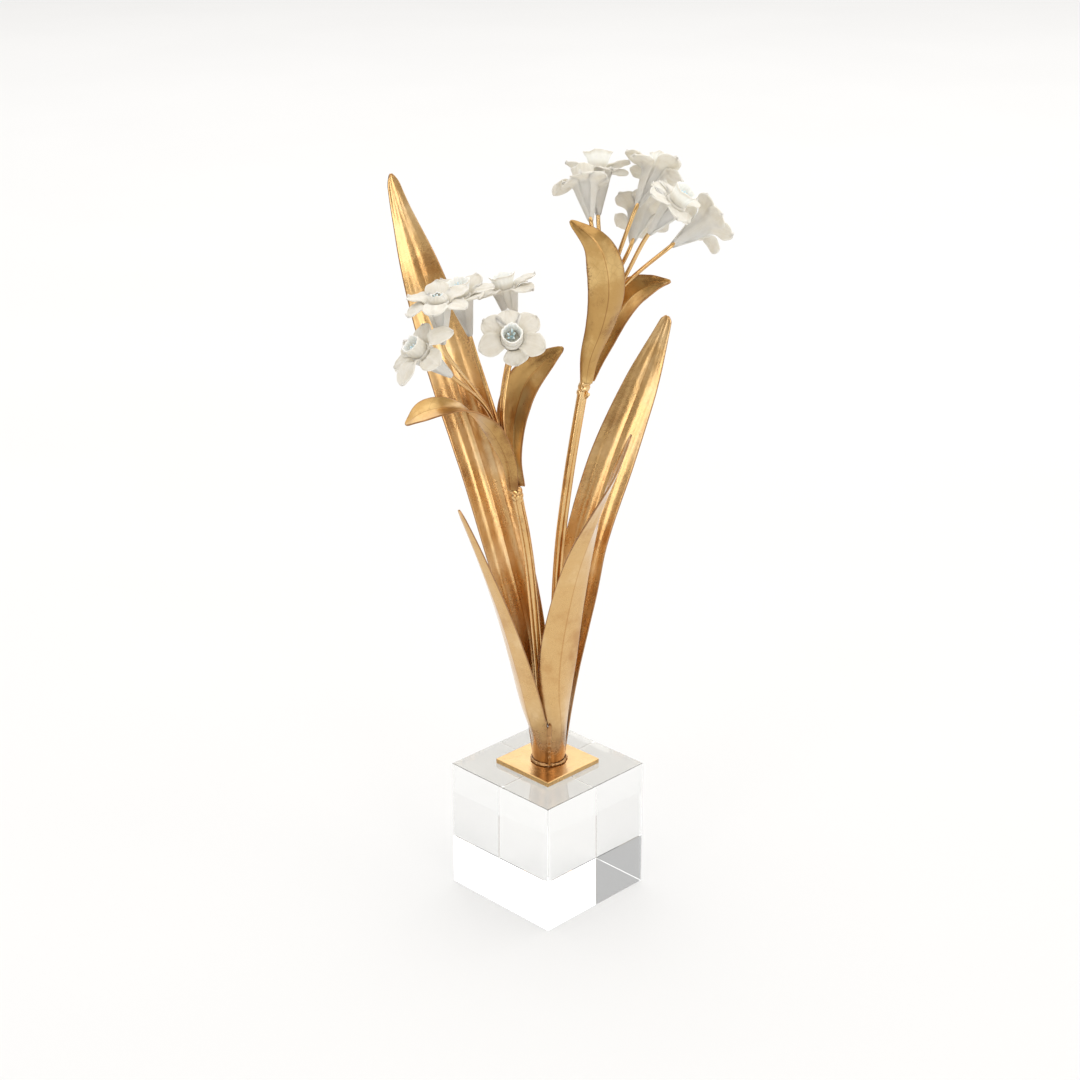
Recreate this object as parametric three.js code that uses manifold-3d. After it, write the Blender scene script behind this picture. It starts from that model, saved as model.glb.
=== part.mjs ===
// Gilded metal and porcelain paperwhite narcissus on a clear block.
//
// Units are millimetres, +Z is up, and the origin is the centre of the block's underside.
// The block and its plate lie square to X and Y. The plant is laid out in a frame of its own,
// x to the right and y to the back of its front view, and is then turned by 45 degrees, so
// that the view onto the block's vertical edge is the plant's front.

import * as THREE from 'three';
import { mergeVertices } from 'three/addons/utils/BufferGeometryUtils.js';
import Module from 'manifold-3d';

const wasm = await Module();
wasm.setup();

// Driving dimensions: block, plate and the foot of the plant
const BLOCK_SIDE = 76;
const PLATE_SIDE = 41;
const PLATE_THICKNESS = 3;
const PLATE_TOP = BLOCK_SIDE + PLATE_THICKNESS;
const PLANT_TURN = Math.PI / 4;
const SEAT_GAP = 0.3;
const FOOT_X = 0.7;
const SHEATH_RADIUS = 8.5;
const SHEATH_SEAM = 0.6;

const BEAD_WIDTH = 1.1;
const BEAD_HEIGHT = 1.4;
const BEAD_SIDES = 22;
const BEAD_SPREAD = 0.1;
const BEAD_RISE = 0.8;
const SEAM_RADIUS = 0.8;
const SEAM_POINTS = [[0.8, -10.4, 80.2], [1, -11.2, 86], [0.8, -12.1, 92], [1, -13, 98.5]];

// Driving dimensions: sheet metal, stems and flower stalks
const LEAF_THICKNESS = 1.0;
const SPATHE_THICKNESS = 0.9;
const PLEAT_WAVES = 4;
const PLEAT_REACH = 0.75;
const PLEATED_WIDTH = 27;
const STEM_DIAMETER = 5.6;
const STALK_DIAMETER = 2.3;
const STALK_INSERTION = 2.4;
const STALK_STRAIGHT = 8;
const STALK_STEPS = 7;
const WELD_DROPS = 2;
const WELD_DROP_SPACING = 4;
const WELD_DROP_START = -5;
const WELD_DROP_COVER = 0.5;
const WELD_UNEVENNESS = 0.12;

// Driving dimensions: one porcelain flower
const TUBE_LENGTH = 17;
const TUBE_FOOT_RADIUS = 2.5;
const TUBE_MOUTH_RADIUS = 6.4;
const TUBE_SIDES = 8;
const SOCKET_RADIUS = 1.7;
const SOCKET_DEPTH = 3;
const TEPAL_START = 11;
const TEPAL_LENGTH = 17.5;
const TEPAL_THICKNESS = 0.9;
const TEPAL_WIDTHS = [6, 7, 9.6, 12.6, 13.6, 11, 1.6];
const TEPAL_ROWS = [0, 0.33, 0.58, 0.85, 1];
const TEPAL_STEPS = 48;
const TEPAL_CURL = 0.35;
const TIP_RECURVE = 0.18;
const TEPAL_WAVE = 0.7;
const LAYER_OFFSET = 1.15;
const CUP_FOOT_RADIUS = 4.6;
const CUP = { height: 8.5, rim: 6.3 };
const CUP_WALL = 0.9;
const CUP_SIDES = 10;
const CUP_WAVE = 0.05;
const CUP_RIM_RISE = 0.35;
const CUP_LOBES = 4;
const CUP_SINK = 0.6;
const STAMEN_COUNT = 4;
const STAMEN_SHARE = 0.7;
const STAMEN_RADIUS = 0.5;
const STAMEN_CIRCLE = 1.1;
const BOSS_RADIUS = 1.8;
const BOSS_HEIGHT = 1;

const GILT = new THREE.MeshStandardMaterial({ color: 0xc99a58, roughness: 0.38, metalness: 1.0 });
const GILT_PALE = new THREE.MeshStandardMaterial({ color: 0xd9b273, roughness: 0.5, metalness: 1.0 });
const PORCELAIN = new THREE.MeshStandardMaterial({ color: 0xece9e0, roughness: 0.45, metalness: 0.0 });
const STAMEN_BLUE = new THREE.MeshStandardMaterial({ color: 0x9fc4cf, roughness: 0.4, metalness: 0.0 });
const CLEAR = new THREE.MeshStandardMaterial({
  color: 0xf4f7f6, roughness: 0.02, metalness: 0.0, transparent: true, opacity: 0.3,
});

// A small seeded generator, so that every run gives the same plant
function seeded(seed) {
  let state = seed;
  return () => {
    state = (state * 1664525 + 1013904223) % 4294967296;
    return state / 4294967296;
  };
}

const vec = (a) => new THREE.Vector3(a[0], a[1], a[2]);
const spline = (points, kind = 'catmullrom') => new THREE.CatmullRomCurve3(points, false, kind);
const smooth = (low, high, x) => THREE.MathUtils.smoothstep(x, low, high);

// Keeps the positions only and merges the shared corners
function weldCorners(geometry) {
  geometry.deleteAttribute('normal');
  geometry.deleteAttribute('uv');
  return mergeVertices(geometry, 1e-4);
}

function toSolid(geometry) {
  const welded = weldCorners(geometry);
  return new wasm.Manifold(new wasm.Mesh({
    numProp: 3,
    vertProperties: new Float32Array(welded.attributes.position.array),
    triVerts: new Uint32Array(welded.index.array),
  }));
}

function toGeometry(solid) {
  const mesh = solid.getMesh();
  const geometry = new THREE.BufferGeometry();
  geometry.setAttribute('position', new THREE.BufferAttribute(new Float32Array(mesh.vertProperties), 3));
  geometry.setIndex(new THREE.BufferAttribute(new Uint32Array(mesh.triVerts), 1));
  return geometry;
}

function fuse(geometries) {
  return toGeometry(geometries.map(toSolid).reduce((whole, piece) => whole.add(piece)));
}

// A closed sheet. surface(u, t) gives a point of its middle face, with u from -1 to 1 across
// and t from 0 to 1 along. Both faces are split into triangles alike.
function sheet(surface, across, along, thickness) {
  const rows = along.length;
  const columns = across.length;
  const step = 1e-3;
  const faces = [[], []];
  for (const t of along) {
    for (const u of across) {
      const centre = surface(u, t);
      const alongStep = surface(u, Math.min(t + step, 1)).sub(surface(u, Math.max(t - step, 0)));
      const acrossStep = surface(Math.min(u + step, 1), t).sub(surface(Math.max(u - step, -1), t));
      const normal = alongStep.cross(acrossStep).normalize().multiplyScalar(thickness / 2);
      faces[0].push(centre.clone().add(normal));
      faces[1].push(centre.clone().sub(normal));
    }
  }
  const positions = [...faces[0], ...faces[1]].flatMap((p) => [p.x, p.y, p.z]);
  const back = rows * columns;
  const at = (row, column) => row * columns + column;
  const index = [];
  for (let i = 0; i < rows - 1; i += 1) {
    for (let j = 0; j < columns - 1; j += 1) {
      const [a, b, c, d] = [at(i, j), at(i, j + 1), at(i + 1, j + 1), at(i + 1, j)];
      index.push(a, d, c, a, c, b);
      index.push(back + a, back + c, back + d, back + a, back + b, back + c);
    }
  }
  const rim = [];
  for (let j = 0; j < columns - 1; j += 1) rim.push(at(0, j));
  for (let i = 0; i < rows - 1; i += 1) rim.push(at(i, columns - 1));
  for (let j = columns - 1; j > 0; j -= 1) rim.push(at(rows - 1, j));
  for (let i = rows - 1; i > 0; i -= 1) rim.push(at(i, 0));
  rim.forEach((a, k) => {
    const b = rim[(k + 1) % rim.length];
    index.push(a, b, back + b, a, back + b, back + a);
  });
  const geometry = new THREE.BufferGeometry();
  geometry.setAttribute('position', new THREE.Float32BufferAttribute(positions, 3));
  geometry.setIndex(index);
  return geometry;
}

// The middle face of a leaf or spathe. Each station gives the middle of the blade, the way
// its inner face looks, its width round the curve and how far it curls across, in radians.
// pleat raises ridges along the middle, and keel folds the blade along its midrib.
function bladeSurface({ stations, pleat = 0, keel = 0, blunt = 0.05 }) {
  const path = spline(stations.map((s) => vec(s.at)));
  const facing = spline(stations.map((s) => vec(s.face)));
  const sizes = spline(stations.map((s) => new THREE.Vector3(s.width, s.curl, 0)));
  return (u, t) => {
    const step = 1e-3;
    const along = path.getPoint(Math.min(t + step, 1)).sub(path.getPoint(Math.max(t - step, 0))).normalize();
    const inward = facing.getPoint(t);
    inward.addScaledVector(along, -inward.dot(along)).normalize();
    const across = along.clone().cross(inward);
    const size = sizes.getPoint(t);
    const toTip = Math.max(0, (t - 1 + blunt) / blunt);
    const width = size.x * Math.sqrt(Math.max(1 - toTip * toTip, 0.02));
    const curl = Math.max(size.y, 0.01);
    const fade = smooth(0.02, 0.3, t) * (1 - smooth(0.6, 0.92, t));
    const crease = 1 - 2 * Math.abs(Math.sin((u * (width / PLEATED_WIDTH) * Math.PI * PLEAT_WAVES) / 2));
    const ridges = pleat * crease * Math.exp(-((u / PLEAT_REACH) ** 4));
    const fold = keel * (1 - Math.abs(u)) * (width / 20) * smooth(0.04, 0.2, t);
    return path.getPoint(t)
      .addScaledVector(across, (width / curl) * Math.sin((curl * u) / 2))
      .addScaledVector(inward, (width / curl) * (1 - Math.cos((curl * u) / 2)) + fade * ridges - fold);
  };
}

const station = (at, face, width, curl) => ({ at, face, width, curl });

const spread = (count, from = 0, to = 1) => Array.from(
  { length: count },
  (_, i) => from + ((to - from) * i) / (count - 1),
);

const LEAF_COLUMNS = [-1, -0.75, -0.5, -0.25, 0, 0.25, 0.5, 0.75, 1];
const NARROW_COLUMNS = [-1, -0.5, 0, 0.5, 1];
const leafRows = (count) => [...spread(count, 0, 0.95), 0.975, 0.992, 1];

// Each leaf starts as a quarter of the sheath round the stems
const foot = (side, depth) => station(
  [FOOT_X + side * SHEATH_RADIUS * Math.SQRT1_2, depth * SHEATH_RADIUS * Math.SQRT1_2, PLATE_TOP + SEAT_GAP],
  [-side, -depth, 0],
  SHEATH_RADIUS * (Math.PI / 2) - SHEATH_SEAM,
  Math.PI / 2 - SHEATH_SEAM / SHEATH_RADIUS,
);

const LEAVES = {
  leaf_tall_left: {
    columns: LEAF_COLUMNS,
    rows: 15,
    pleat: 0.2,
    stations: [
      foot(-1, 1),
      station([-7.5, 7.8, 112], [0.6, -0.8, 0.1], 16, 1.1),
      station([-11, 9.5, 150], [0.45, -0.88, 0.1], 21.5, 0.8),
      station([-22, 12, 200], [0.35, -0.93, 0.1], 25.8, 0.6),
      station([-35, 15.5, 250], [0.3, -0.95, 0.1], 27, 0.5),
      station([-50, 19.5, 300], [0.25, -0.95, 0.1], 27.5, 0.45),
      station([-64.4, 24, 348], [0.2, -0.95, 0.1], 22.5, 0.4),
      station([-76, 28, 385], [0.2, -0.95, 0.1], 10.7, 0.3),
      station([-80.7, 30, 403.5], [0.2, -0.95, 0.1], 5, 0.2),
    ],
  },
  leaf_tall_right: {
    columns: LEAF_COLUMNS,
    rows: 13,
    pleat: 0.2,
    stations: [
      foot(1, 1),
      station([8.8, 9.4, 110], [-0.6, -0.8, 0.1], 16.5, 1.15),
      station([10.6, 12.4, 140], [-0.5, -0.85, 0.1], 23.5, 0.8),
      station([15.8, 14.5, 174], [-0.4, -0.9, 0.1], 26, 0.6),
      station([22.7, 16.5, 209], [-0.35, -0.93, 0.1], 25, 0.5),
      station([35, 19, 250], [-0.3, -0.95, 0.1], 25.5, 0.45),
      station([49.7, 23, 290], [-0.25, -0.95, 0.1], 19.2, 0.4),
      station([60.6, 27, 318.5], [-0.2, -0.95, 0.1], 9, 0.3),
      station([63.8, 28.5, 327.5], [-0.2, -0.95, 0.1], 5.5, 0.2),
    ],
  },
  leaf_front_left: {
    columns: NARROW_COLUMNS,
    rows: 13,
    keel: 2.0,
    stations: [
      foot(-1, -1),
      station([-6.1, -7.6, 97], [0.7, 0.7, 0.1], 15.2, 1.3),
      station([-9.9, -10, 115], [0.7, 0.7, 0.3], 18.5, 0.9),
      station([-15, -14, 140], [0.75, 0.65, 0.3], 18.5, 0.6),
      station([-22.5, -19, 170], [0.8, 0.6, 0.3], 16, 0.5),
      station([-31, -24, 198], [0.8, 0.55, 0.3], 12, 0.45),
      station([-39, -29, 222], [0.8, 0.55, 0.3], 7.5, 0.4),
      station([-46, -32, 241], [0.8, 0.55, 0.3], 3.5, 0.2),
    ],
  },
  leaf_front_right: {
    columns: NARROW_COLUMNS,
    rows: 14,
    keel: 2.0,
    stations: [
      foot(1, -1),
      station([6.8, -8.2, 102], [-0.6, 0.8, 0.05], 12.8, 1.25),
      station([5.2, -10, 125], [-0.4, 0.9, 0.1], 20.8, 1.0),
      station([6.7, -12, 150], [-0.3, 0.95, 0.1], 22.2, 0.8),
      station([11.2, -15, 180], [-0.35, 0.93, 0.1], 19.8, 0.65),
      station([17.3, -19, 208], [-0.55, 0.8, 0.1], 17, 0.55),
      station([26.5, -25, 238], [-0.85, 0.35, 0.2], 15, 0.45),
      station([35.5, -30, 262], [-0.93, -0.05, 0.25], 10, 0.4),
      station([42.7, -34, 283], [-0.93, -0.1, 0.25], 3, 0.3),
    ],
  },
};

const SPATHES = {
  spathe_left_front: {
    columns: NARROW_COLUMNS,
    rows: 10,
    keel: 0.4,
    blunt: 0.03,
    stations: [
      station([-18.2, -12.8, 244], [0.1, 1, 0], 5.8, 1.5),
      station([-20, -14.8, 259], [0.2, 0.95, 0.2], 8, 1.1),
      station([-26.5, -16.5, 275], [0.2, 0.8, 0.5], 12, 0.8),
      station([-33.8, -18.5, 285], [0.1, 0.45, 0.9], 14.5, 0.6),
      station([-43, -20.5, 292], [0, 0.1, 1], 15, 0.5),
      station([-54, -22, 293.4], [-0.15, -0.3, 0.92], 16.5, 0.5),
      station([-65, -22.5, 290.5], [-0.3, -0.4, 0.85], 15.5, 0.5),
      station([-73.3, -23, 284.5], [-0.5, -0.3, 0.8], 3, 0.3),
    ],
  },
  spathe_left_back: {
    columns: NARROW_COLUMNS,
    rows: 10,
    keel: 3.2,
    blunt: 0.03,
    stations: [
      station([-15.6, -3.2, 243], [-0.2, -1, 0], 9, 1.4),
      station([-18, -2.5, 258], [-0.35, -0.93, 0], 11, 1.1),
      station([-18.7, -1, 274], [-0.5, -0.86, 0], 17.5, 0.8),
      station([-16.5, 0, 288], [-0.5, -0.86, 0], 19.5, 0.7),
      station([-11.2, 1, 301], [-0.5, -0.86, 0], 18.5, 0.6),
      station([0, 2, 312], [-0.5, -0.86, 0.2], 11, 0.5),
      station([8.2, 3, 318], [-0.5, -0.86, 0.3], 2.5, 0.3),
    ],
  },
  spathe_right_front: {
    columns: NARROW_COLUMNS,
    rows: 10,
    keel: 3.0,
    blunt: 0.03,
    stations: [
      station([20.2, 0.2, 299], [0.1, 1, 0], 6.8, 1.5),
      station([22.2, -1.4, 314], [-0.1, 1, 0.1], 10.5, 1.3),
      station([27.5, -3.4, 331], [-0.2, 0.98, 0.1], 16, 1.1),
      station([30.5, -5.6, 348], [-0.2, 0.98, 0.1], 20, 0.9),
      station([29.3, -7.6, 364], [-0.2, 0.95, 0], 19.5, 0.8),
      station([24, -10.2, 377], [-0.25, 0.95, -0.1], 13.5, 0.6),
      station([11.3, -10, 388], [-0.3, 0.9, -0.2], 2.5, 0.3),
    ],
  },
  spathe_right_back: {
    columns: NARROW_COLUMNS,
    rows: 10,
    keel: 3.0,
    blunt: 0.03,
    stations: [
      station([21.1, 8.4, 299], [-0.2, -1, 0.1], 8.5, 1.4),
      station([26, 11, 312], [-0.35, -0.9, 0.2], 12.5, 1.1),
      station([34, 13, 330], [-0.5, -0.7, 0.4], 20, 0.9),
      station([43.5, 15, 343], [-0.5, -0.7, 0.4], 19, 0.8),
      station([54, 16.5, 348], [-0.5, -0.7, 0.4], 11, 0.6),
      station([64.3, 17.5, 349.5], [-0.1, -0.4, 0.9], 2.5, 0.3),
    ],
  },
};

const flower = (root, axis, tepals, stalk, cup = CUP) => ({ root, axis, tepals, stalk, cup });

// Each flower: where its tube starts, the way it looks, its tepals, the points that its
// stalk passes between the joint and the tube, and its cup where that isn't the usual one.
// A tepal is its place round the flower and its opening from the axis, both in degrees,
// counted from the plant's right hand side, and its length against the others.
const FLOWER_HEADS = {
  left: {
    joint: [-16.6, -8, 243],
    stem: [
      [-2.4, -1, PLATE_TOP + SEAT_GAP],
      [-3, -1.6, 110],
      [-5.4, -3, 148],
      [-9.9, -5, 201.5],
      [-15.2, -7.6, 236],
    ],
    stub: [[-16.4, -8, 234], [-13.2, -9.4, 238.5]],
    flowers: [
      flower([-18.4, 19, 328.5], [-0.22, 0.06, 0.97],
        [[12, 74], [60, 96], [110, 88], [170, 82], [222, 94], [325, 98]],
        [[-24, -7, 284], [-21.5, 4, 306]], { height: 7.5, rim: 6.8 }),
      flower([-17.9, -11, 322], [0, -0.83, 0.56],
        [[339, 86], [45, 106], [100, 108, 0.86], [147, 96], [201, 92], [282, 112, 0.7]],
        [[-23, -12, 283], [-20.5, -6.5, 306]], { height: 8.5, rim: 5.5 }),
      flower([-41.3, 5, 329.4], [-0.2, -0.1, 0.97],
        [[0, 88], [56, 60], [128, 62], [190, 90], [250, 92], [306, 74]],
        [[-27, -8, 284]], { height: 8, rim: 6.6 }),
      flower([-53.5, -22, 333], [-0.1, -0.05, 1],
        [[30, 75], [92, 52], [150, 88], [200, 112], [265, 100], [325, 95]],
        [[-30, -9.5, 286]], { height: 4, rim: 3.4 }),
      flower([-52.5, -34, 317.5], [-0.66, -0.34, 0.67],
        [[8, 112, 1.2], [84, 84], [130, 62, 0.75], [180, 86], [242, 92, 1.25], [305, 112]],
        [[-30, -12, 287]], { height: 7.5, rim: 5.3 }),
    ],
  },
  right: {
    joint: [19.8, 5, 299],
    stem: [[3.8, 1.2, PLATE_TOP + SEAT_GAP], [3.8, 1.8, 140], [6, 3, 198.2], [11, 4, 244], [17.6, 5, 287]],
    stub: [[19.8, 4, 290], [21.6, 1.2, 293.2]],
    flowers: [
      flower([21.1, -2.6, 391.5], [-0.14, 0.6, 0.79],
        [[262, 92, 0.62], [322, 70, 0.6], [20, 84, 0.6], [80, 88, 0.8], [150, 105, 1.05], [203, 90, 0.6]],
        [[27, 3.5, 350], [23.8, 1.5, 370]], { height: 7, rim: 5.8 }),
      flower([26.3, 21, 389.5], [0, 0.4, 0.92],
        [[337, 74], [30, 88], [110, 88], [190, 66], [245, 92, 0.7], [292, 100]],
        [[28.3, 6, 343]], { height: 10, rim: 7.6 }),
      flower([47.9, 8, 395.6], [0.42, 0.6, 0.68],
        [[190, 80], [232, 108], [305, 72], [344, 102], [60, 90], [130, 86]], [[29, 7.5, 341]]),
      flower([44.6, 15, 374.5], [0.2, 0.85, 0.48],
        [[226, 86, 0.85], [280, 92], [335, 95], [30, 90], [82, 90], [135, 80, 0.85]], [[29.5, 9.5, 340]]),
      flower([54.7, -12, 386], [0.58, -0.25, 0.775],
        [[47, 90], [110, 100], [160, 95, 0.8], [205, 90], [270, 95, 0.75], [330, 100, 0.55]],
        [[30, 5.5, 339], [39, 3, 354]], { height: 8.5, rim: 6.3 }),
      flower([67.9, 4, 374.6], [0.75, 0.54, 0.37],
        [[259, 76], [305, 81], [350, 74], [60, 88], [120, 95], [190, 90]], [[31, 7, 339]]),
    ],
  },
};

// A round bar along a curve through the given points
function bar(points, radius, sides, steps, kind = 'catmullrom') {
  const section = new THREE.Shape();
  for (let i = 0; i < sides; i += 1) {
    const angle = (2 * Math.PI * i) / sides;
    const move = i === 0 ? 'moveTo' : 'lineTo';
    section[move](radius * Math.cos(angle), radius * Math.sin(angle));
  }
  return new THREE.ExtrudeGeometry(section, { steps, extrudePath: spline(points, kind) });
}

// An uneven drop of weld metal
function weldDrop(centre, radius, random) {
  const drop = weldCorners(new THREE.IcosahedronGeometry(radius, 1));
  const position = drop.attributes.position;
  for (let i = 0; i < position.count; i += 1) {
    const swell = 1 - WELD_UNEVENNESS + 2 * WELD_UNEVENNESS * random();
    position.setXYZ(i, position.getX(i) * swell, position.getY(i) * swell, position.getZ(i) * swell);
  }
  return drop.translate(centre[0], centre[1], centre[2]);
}

// The stem, its flower stalks, the weld that joins them and the cut end of a rod in it
function flowerStem(head, random) {
  const joint = vec(head.joint);
  const pieces = [bar([...head.stem.map(vec), joint], STEM_DIAMETER / 2, 8, 9)];
  for (const { root, axis, stalk } of head.flowers) {
    const end = vec(root);
    const way = vec(axis).normalize();
    const route = [
      joint,
      ...stalk.map(vec),
      end.clone().addScaledVector(way, -STALK_STRAIGHT),
      end.clone().addScaledVector(way, STALK_INSERTION),
    ];
    pieces.push(bar(route, STALK_DIAMETER / 2, 6, STALK_STEPS, 'centripetal'));
  }
  pieces.push(bar(head.stub.map(vec), STALK_DIAMETER / 2, 6, 1));
  for (let k = 0; k < WELD_DROPS; k += 1) {
    const shift = [random() - 0.5, random() - 0.5, WELD_DROP_START + WELD_DROP_SPACING * k];
    const centre = joint.toArray().map((value, i) => value + shift[i]);
    pieces.push(weldDrop(centre, STEM_DIAMETER / 2 + WELD_DROP_COVER, random));
  }
  return fuse(pieces);
}

// The middle line of a tepal in the plane of the flower's axis: up the tube, then outwards
// to its opening angle. Each point is [radius, height, slope from the axis].
function tepalLine(open, drop, length) {
  const flare = Math.atan2(TUBE_MOUTH_RADIUS - TUBE_FOOT_RADIUS, TUBE_LENGTH);
  const line = [];
  let radius = TUBE_FOOT_RADIUS + TEPAL_START * Math.tan(flare);
  let height = TEPAL_START;
  for (let i = 0; i <= TEPAL_STEPS; i += 1) {
    const s = i / TEPAL_STEPS;
    const slope = flare + (open - flare) * smooth(0.18, 0.55, s) + TIP_RECURVE * smooth(0.6, 1, s);
    const step = drop * (0.4 + 0.6 * smooth(0.1, 0.45, s));
    line.push([radius + step * Math.cos(slope), height - step * Math.sin(slope), slope]);
    radius += (length / TEPAL_STEPS) * Math.sin(slope);
    height += (length / TEPAL_STEPS) * Math.cos(slope);
  }
  return line;
}

function tepalSurface(angle, open, drop, length, wave, phase) {
  const line = tepalLine(open, drop, length);
  const widths = spline(TEPAL_WIDTHS.map((width) => new THREE.Vector3(width, 0, 0)));
  return (u, s) => {
    const place = s * (line.length - 1);
    const i = Math.min(Math.floor(place), line.length - 2);
    const [radius, height, slope] = line[i].map((value, k) => (
      THREE.MathUtils.lerp(value, line[i + 1][k], place - i)));
    const width = widths.getPoint(s).x;
    const curl = THREE.MathUtils.lerp(width / radius, TEPAL_CURL, smooth(0.3, 0.6, s));
    const side = (width / curl) * Math.sin((curl * u) / 2);
    const ripple = wave * u * Math.sin(5 * s + phase) * smooth(0.35, 0.7, s);
    const rise = (width / curl) * (1 - Math.cos((curl * u) / 2)) + ripple;
    const outward = radius - rise * Math.cos(slope);
    return new THREE.Vector3(
      outward * Math.cos(angle) - side * Math.sin(angle),
      outward * Math.sin(angle) + side * Math.cos(angle),
      height + rise * Math.sin(slope),
    );
  };
}

// The flared tube, with a socket for the stalk in its foot
function tubeGeometry() {
  const profile = [
    [0, SOCKET_DEPTH],
    [SOCKET_RADIUS, SOCKET_DEPTH],
    [SOCKET_RADIUS, 0],
    [TUBE_FOOT_RADIUS, 0],
    [TUBE_MOUTH_RADIUS, TUBE_LENGTH],
    [0, TUBE_LENGTH],
  ].map(([x, y]) => new THREE.Vector2(x, y));
  return new THREE.LatheGeometry(profile, TUBE_SIDES).rotateX(Math.PI / 2);
}

// The open cup in the flower's middle, with a waved and flared rim
function cupGeometry({ height, rim }, random) {
  const foot = TUBE_LENGTH - CUP_SINK;
  const profile = [
    [CUP_FOOT_RADIUS, foot],
    [CUP_FOOT_RADIUS + 0.7, foot + height * 0.6],
    [rim, foot + height],
    [rim - CUP_WALL, foot + height + 0.1],
    [CUP_FOOT_RADIUS - CUP_WALL, foot],
    [CUP_FOOT_RADIUS, foot],
  ].map(([x, y]) => new THREE.Vector2(x, y));
  const cup = weldCorners(new THREE.LatheGeometry(profile, CUP_SIDES).rotateX(Math.PI / 2));
  const position = cup.attributes.position;
  const phase = random() * 6;
  for (let i = 0; i < position.count; i += 1) {
    const [x, y, z] = [position.getX(i), position.getY(i), position.getZ(i)];
    const lift = smooth(foot + height * 0.5, foot + height, z);
    const wave = lift * Math.sin(CUP_LOBES * Math.atan2(y, x) + phase);
    const swell = 1 + CUP_WAVE * wave;
    position.setXYZ(i, x * swell, y * swell, z + CUP_RIM_RISE * wave);
  }
  return cup;
}

function porcelainFlower({ tepals, cup }, random) {
  const pieces = [tubeGeometry(), cupGeometry(cup, random)];
  tepals.forEach(([place, open, length = 1], k) => {
    const [angle, opening] = [place, open].map(THREE.MathUtils.degToRad);
    const drop = k % 2 === 0 ? 0 : LAYER_OFFSET;
    const wave = TEPAL_WAVE * (random() - 0.5);
    const surface = tepalSurface(angle, opening, drop, length * TEPAL_LENGTH, wave, 6 * random());
    pieces.push(sheet(surface, [-1, 0, 1], TEPAL_ROWS, TEPAL_THICKNESS));
  });
  return fuse(pieces);
}

// A small boss on the cup's floor with the stamens standing on it
function stamens({ cup }, random) {
  const boss = new THREE.CylinderGeometry(BOSS_RADIUS, BOSS_RADIUS, BOSS_HEIGHT, 6).rotateX(Math.PI / 2);
  const foot = TUBE_LENGTH + SEAT_GAP;
  const pieces = [boss.translate(0, 0, foot + BOSS_HEIGHT / 2)];
  for (let k = 0; k < STAMEN_COUNT; k += 1) {
    const angle = (2 * Math.PI * k) / STAMEN_COUNT + 0.5 * random();
    const height = STAMEN_SHARE * cup.height * (0.8 + 0.2 * random());
    const rod = new THREE.CylinderGeometry(STAMEN_RADIUS, STAMEN_RADIUS, height, 4);
    rod.rotateX(Math.PI / 2).translate(0, 0, foot + BOSS_HEIGHT / 2 + height / 2);
    rod.translate(STAMEN_CIRCLE * Math.cos(angle), STAMEN_CIRCLE * Math.sin(angle), 0);
    pieces.push(rod);
  }
  return fuse(pieces);
}

// The uneven bead round the sheath on the plate, and the run of weld up its front joint
function footWeld(random) {
  const inner = SHEATH_RADIUS + LEAF_THICKNESS / 2 + SEAT_GAP;
  const bottom = PLATE_TOP + SEAT_GAP;
  const profile = [
    [inner, bottom],
    [inner + BEAD_WIDTH, bottom],
    [inner + BEAD_WIDTH * 0.8, bottom + BEAD_HEIGHT * 0.55],
    [inner + 0.3, bottom + BEAD_HEIGHT],
    [inner, bottom],
  ].map(([x, y]) => new THREE.Vector2(x, y));
  const ring = weldCorners(new THREE.LatheGeometry(profile, BEAD_SIDES).rotateX(Math.PI / 2));
  const position = ring.attributes.position;
  for (let i = 0; i < position.count; i += 1) {
    const [x, y, z] = [position.getX(i), position.getY(i), position.getZ(i)];
    const out = Math.hypot(x, y) > inner + 0.1 ? 1 + BEAD_SPREAD * (random() - 0.3) : 1;
    const up = z > bottom + 0.5 ? BEAD_RISE * (random() - 0.4) : 0;
    position.setXYZ(i, x * out, y * out, z + up);
  }
  const seam = bar(SEAM_POINTS.map(vec), SEAM_RADIUS, 6, 6);
  return fuse([ring.translate(FOOT_X, 0, 0), seam]);
}

const object = new THREE.Group();

function addNode(group, name, geometry, material) {
  const mesh = new THREE.Mesh(geometry, material);
  mesh.name = name;
  group.add(mesh);
  return mesh;
}

const blockShape = new THREE.BoxGeometry(BLOCK_SIDE, BLOCK_SIDE, BLOCK_SIDE);
const block = addNode(object, 'clear_block', blockShape, CLEAR);
block.position.z = BLOCK_SIDE / 2;

const plateShape = new THREE.BoxGeometry(PLATE_SIDE, PLATE_SIDE, PLATE_THICKNESS);
const plate = addNode(object, 'mounting_plate', plateShape, GILT);
plate.position.z = BLOCK_SIDE + PLATE_THICKNESS / 2;

const plant = new THREE.Group();
plant.rotation.z = PLANT_TURN;
object.add(plant);

addNode(plant, 'foot_weld', footWeld(seeded(3)), GILT);

for (const [name, leaf] of Object.entries(LEAVES)) {
  const blade = sheet(bladeSurface(leaf), leaf.columns, leafRows(leaf.rows), LEAF_THICKNESS);
  addNode(plant, name, blade, GILT_PALE);
}

for (const [name, spathe] of Object.entries(SPATHES)) {
  const blade = sheet(bladeSurface(spathe), spathe.columns, leafRows(spathe.rows), SPATHE_THICKNESS);
  addNode(plant, name, blade, GILT_PALE);
}

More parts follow.
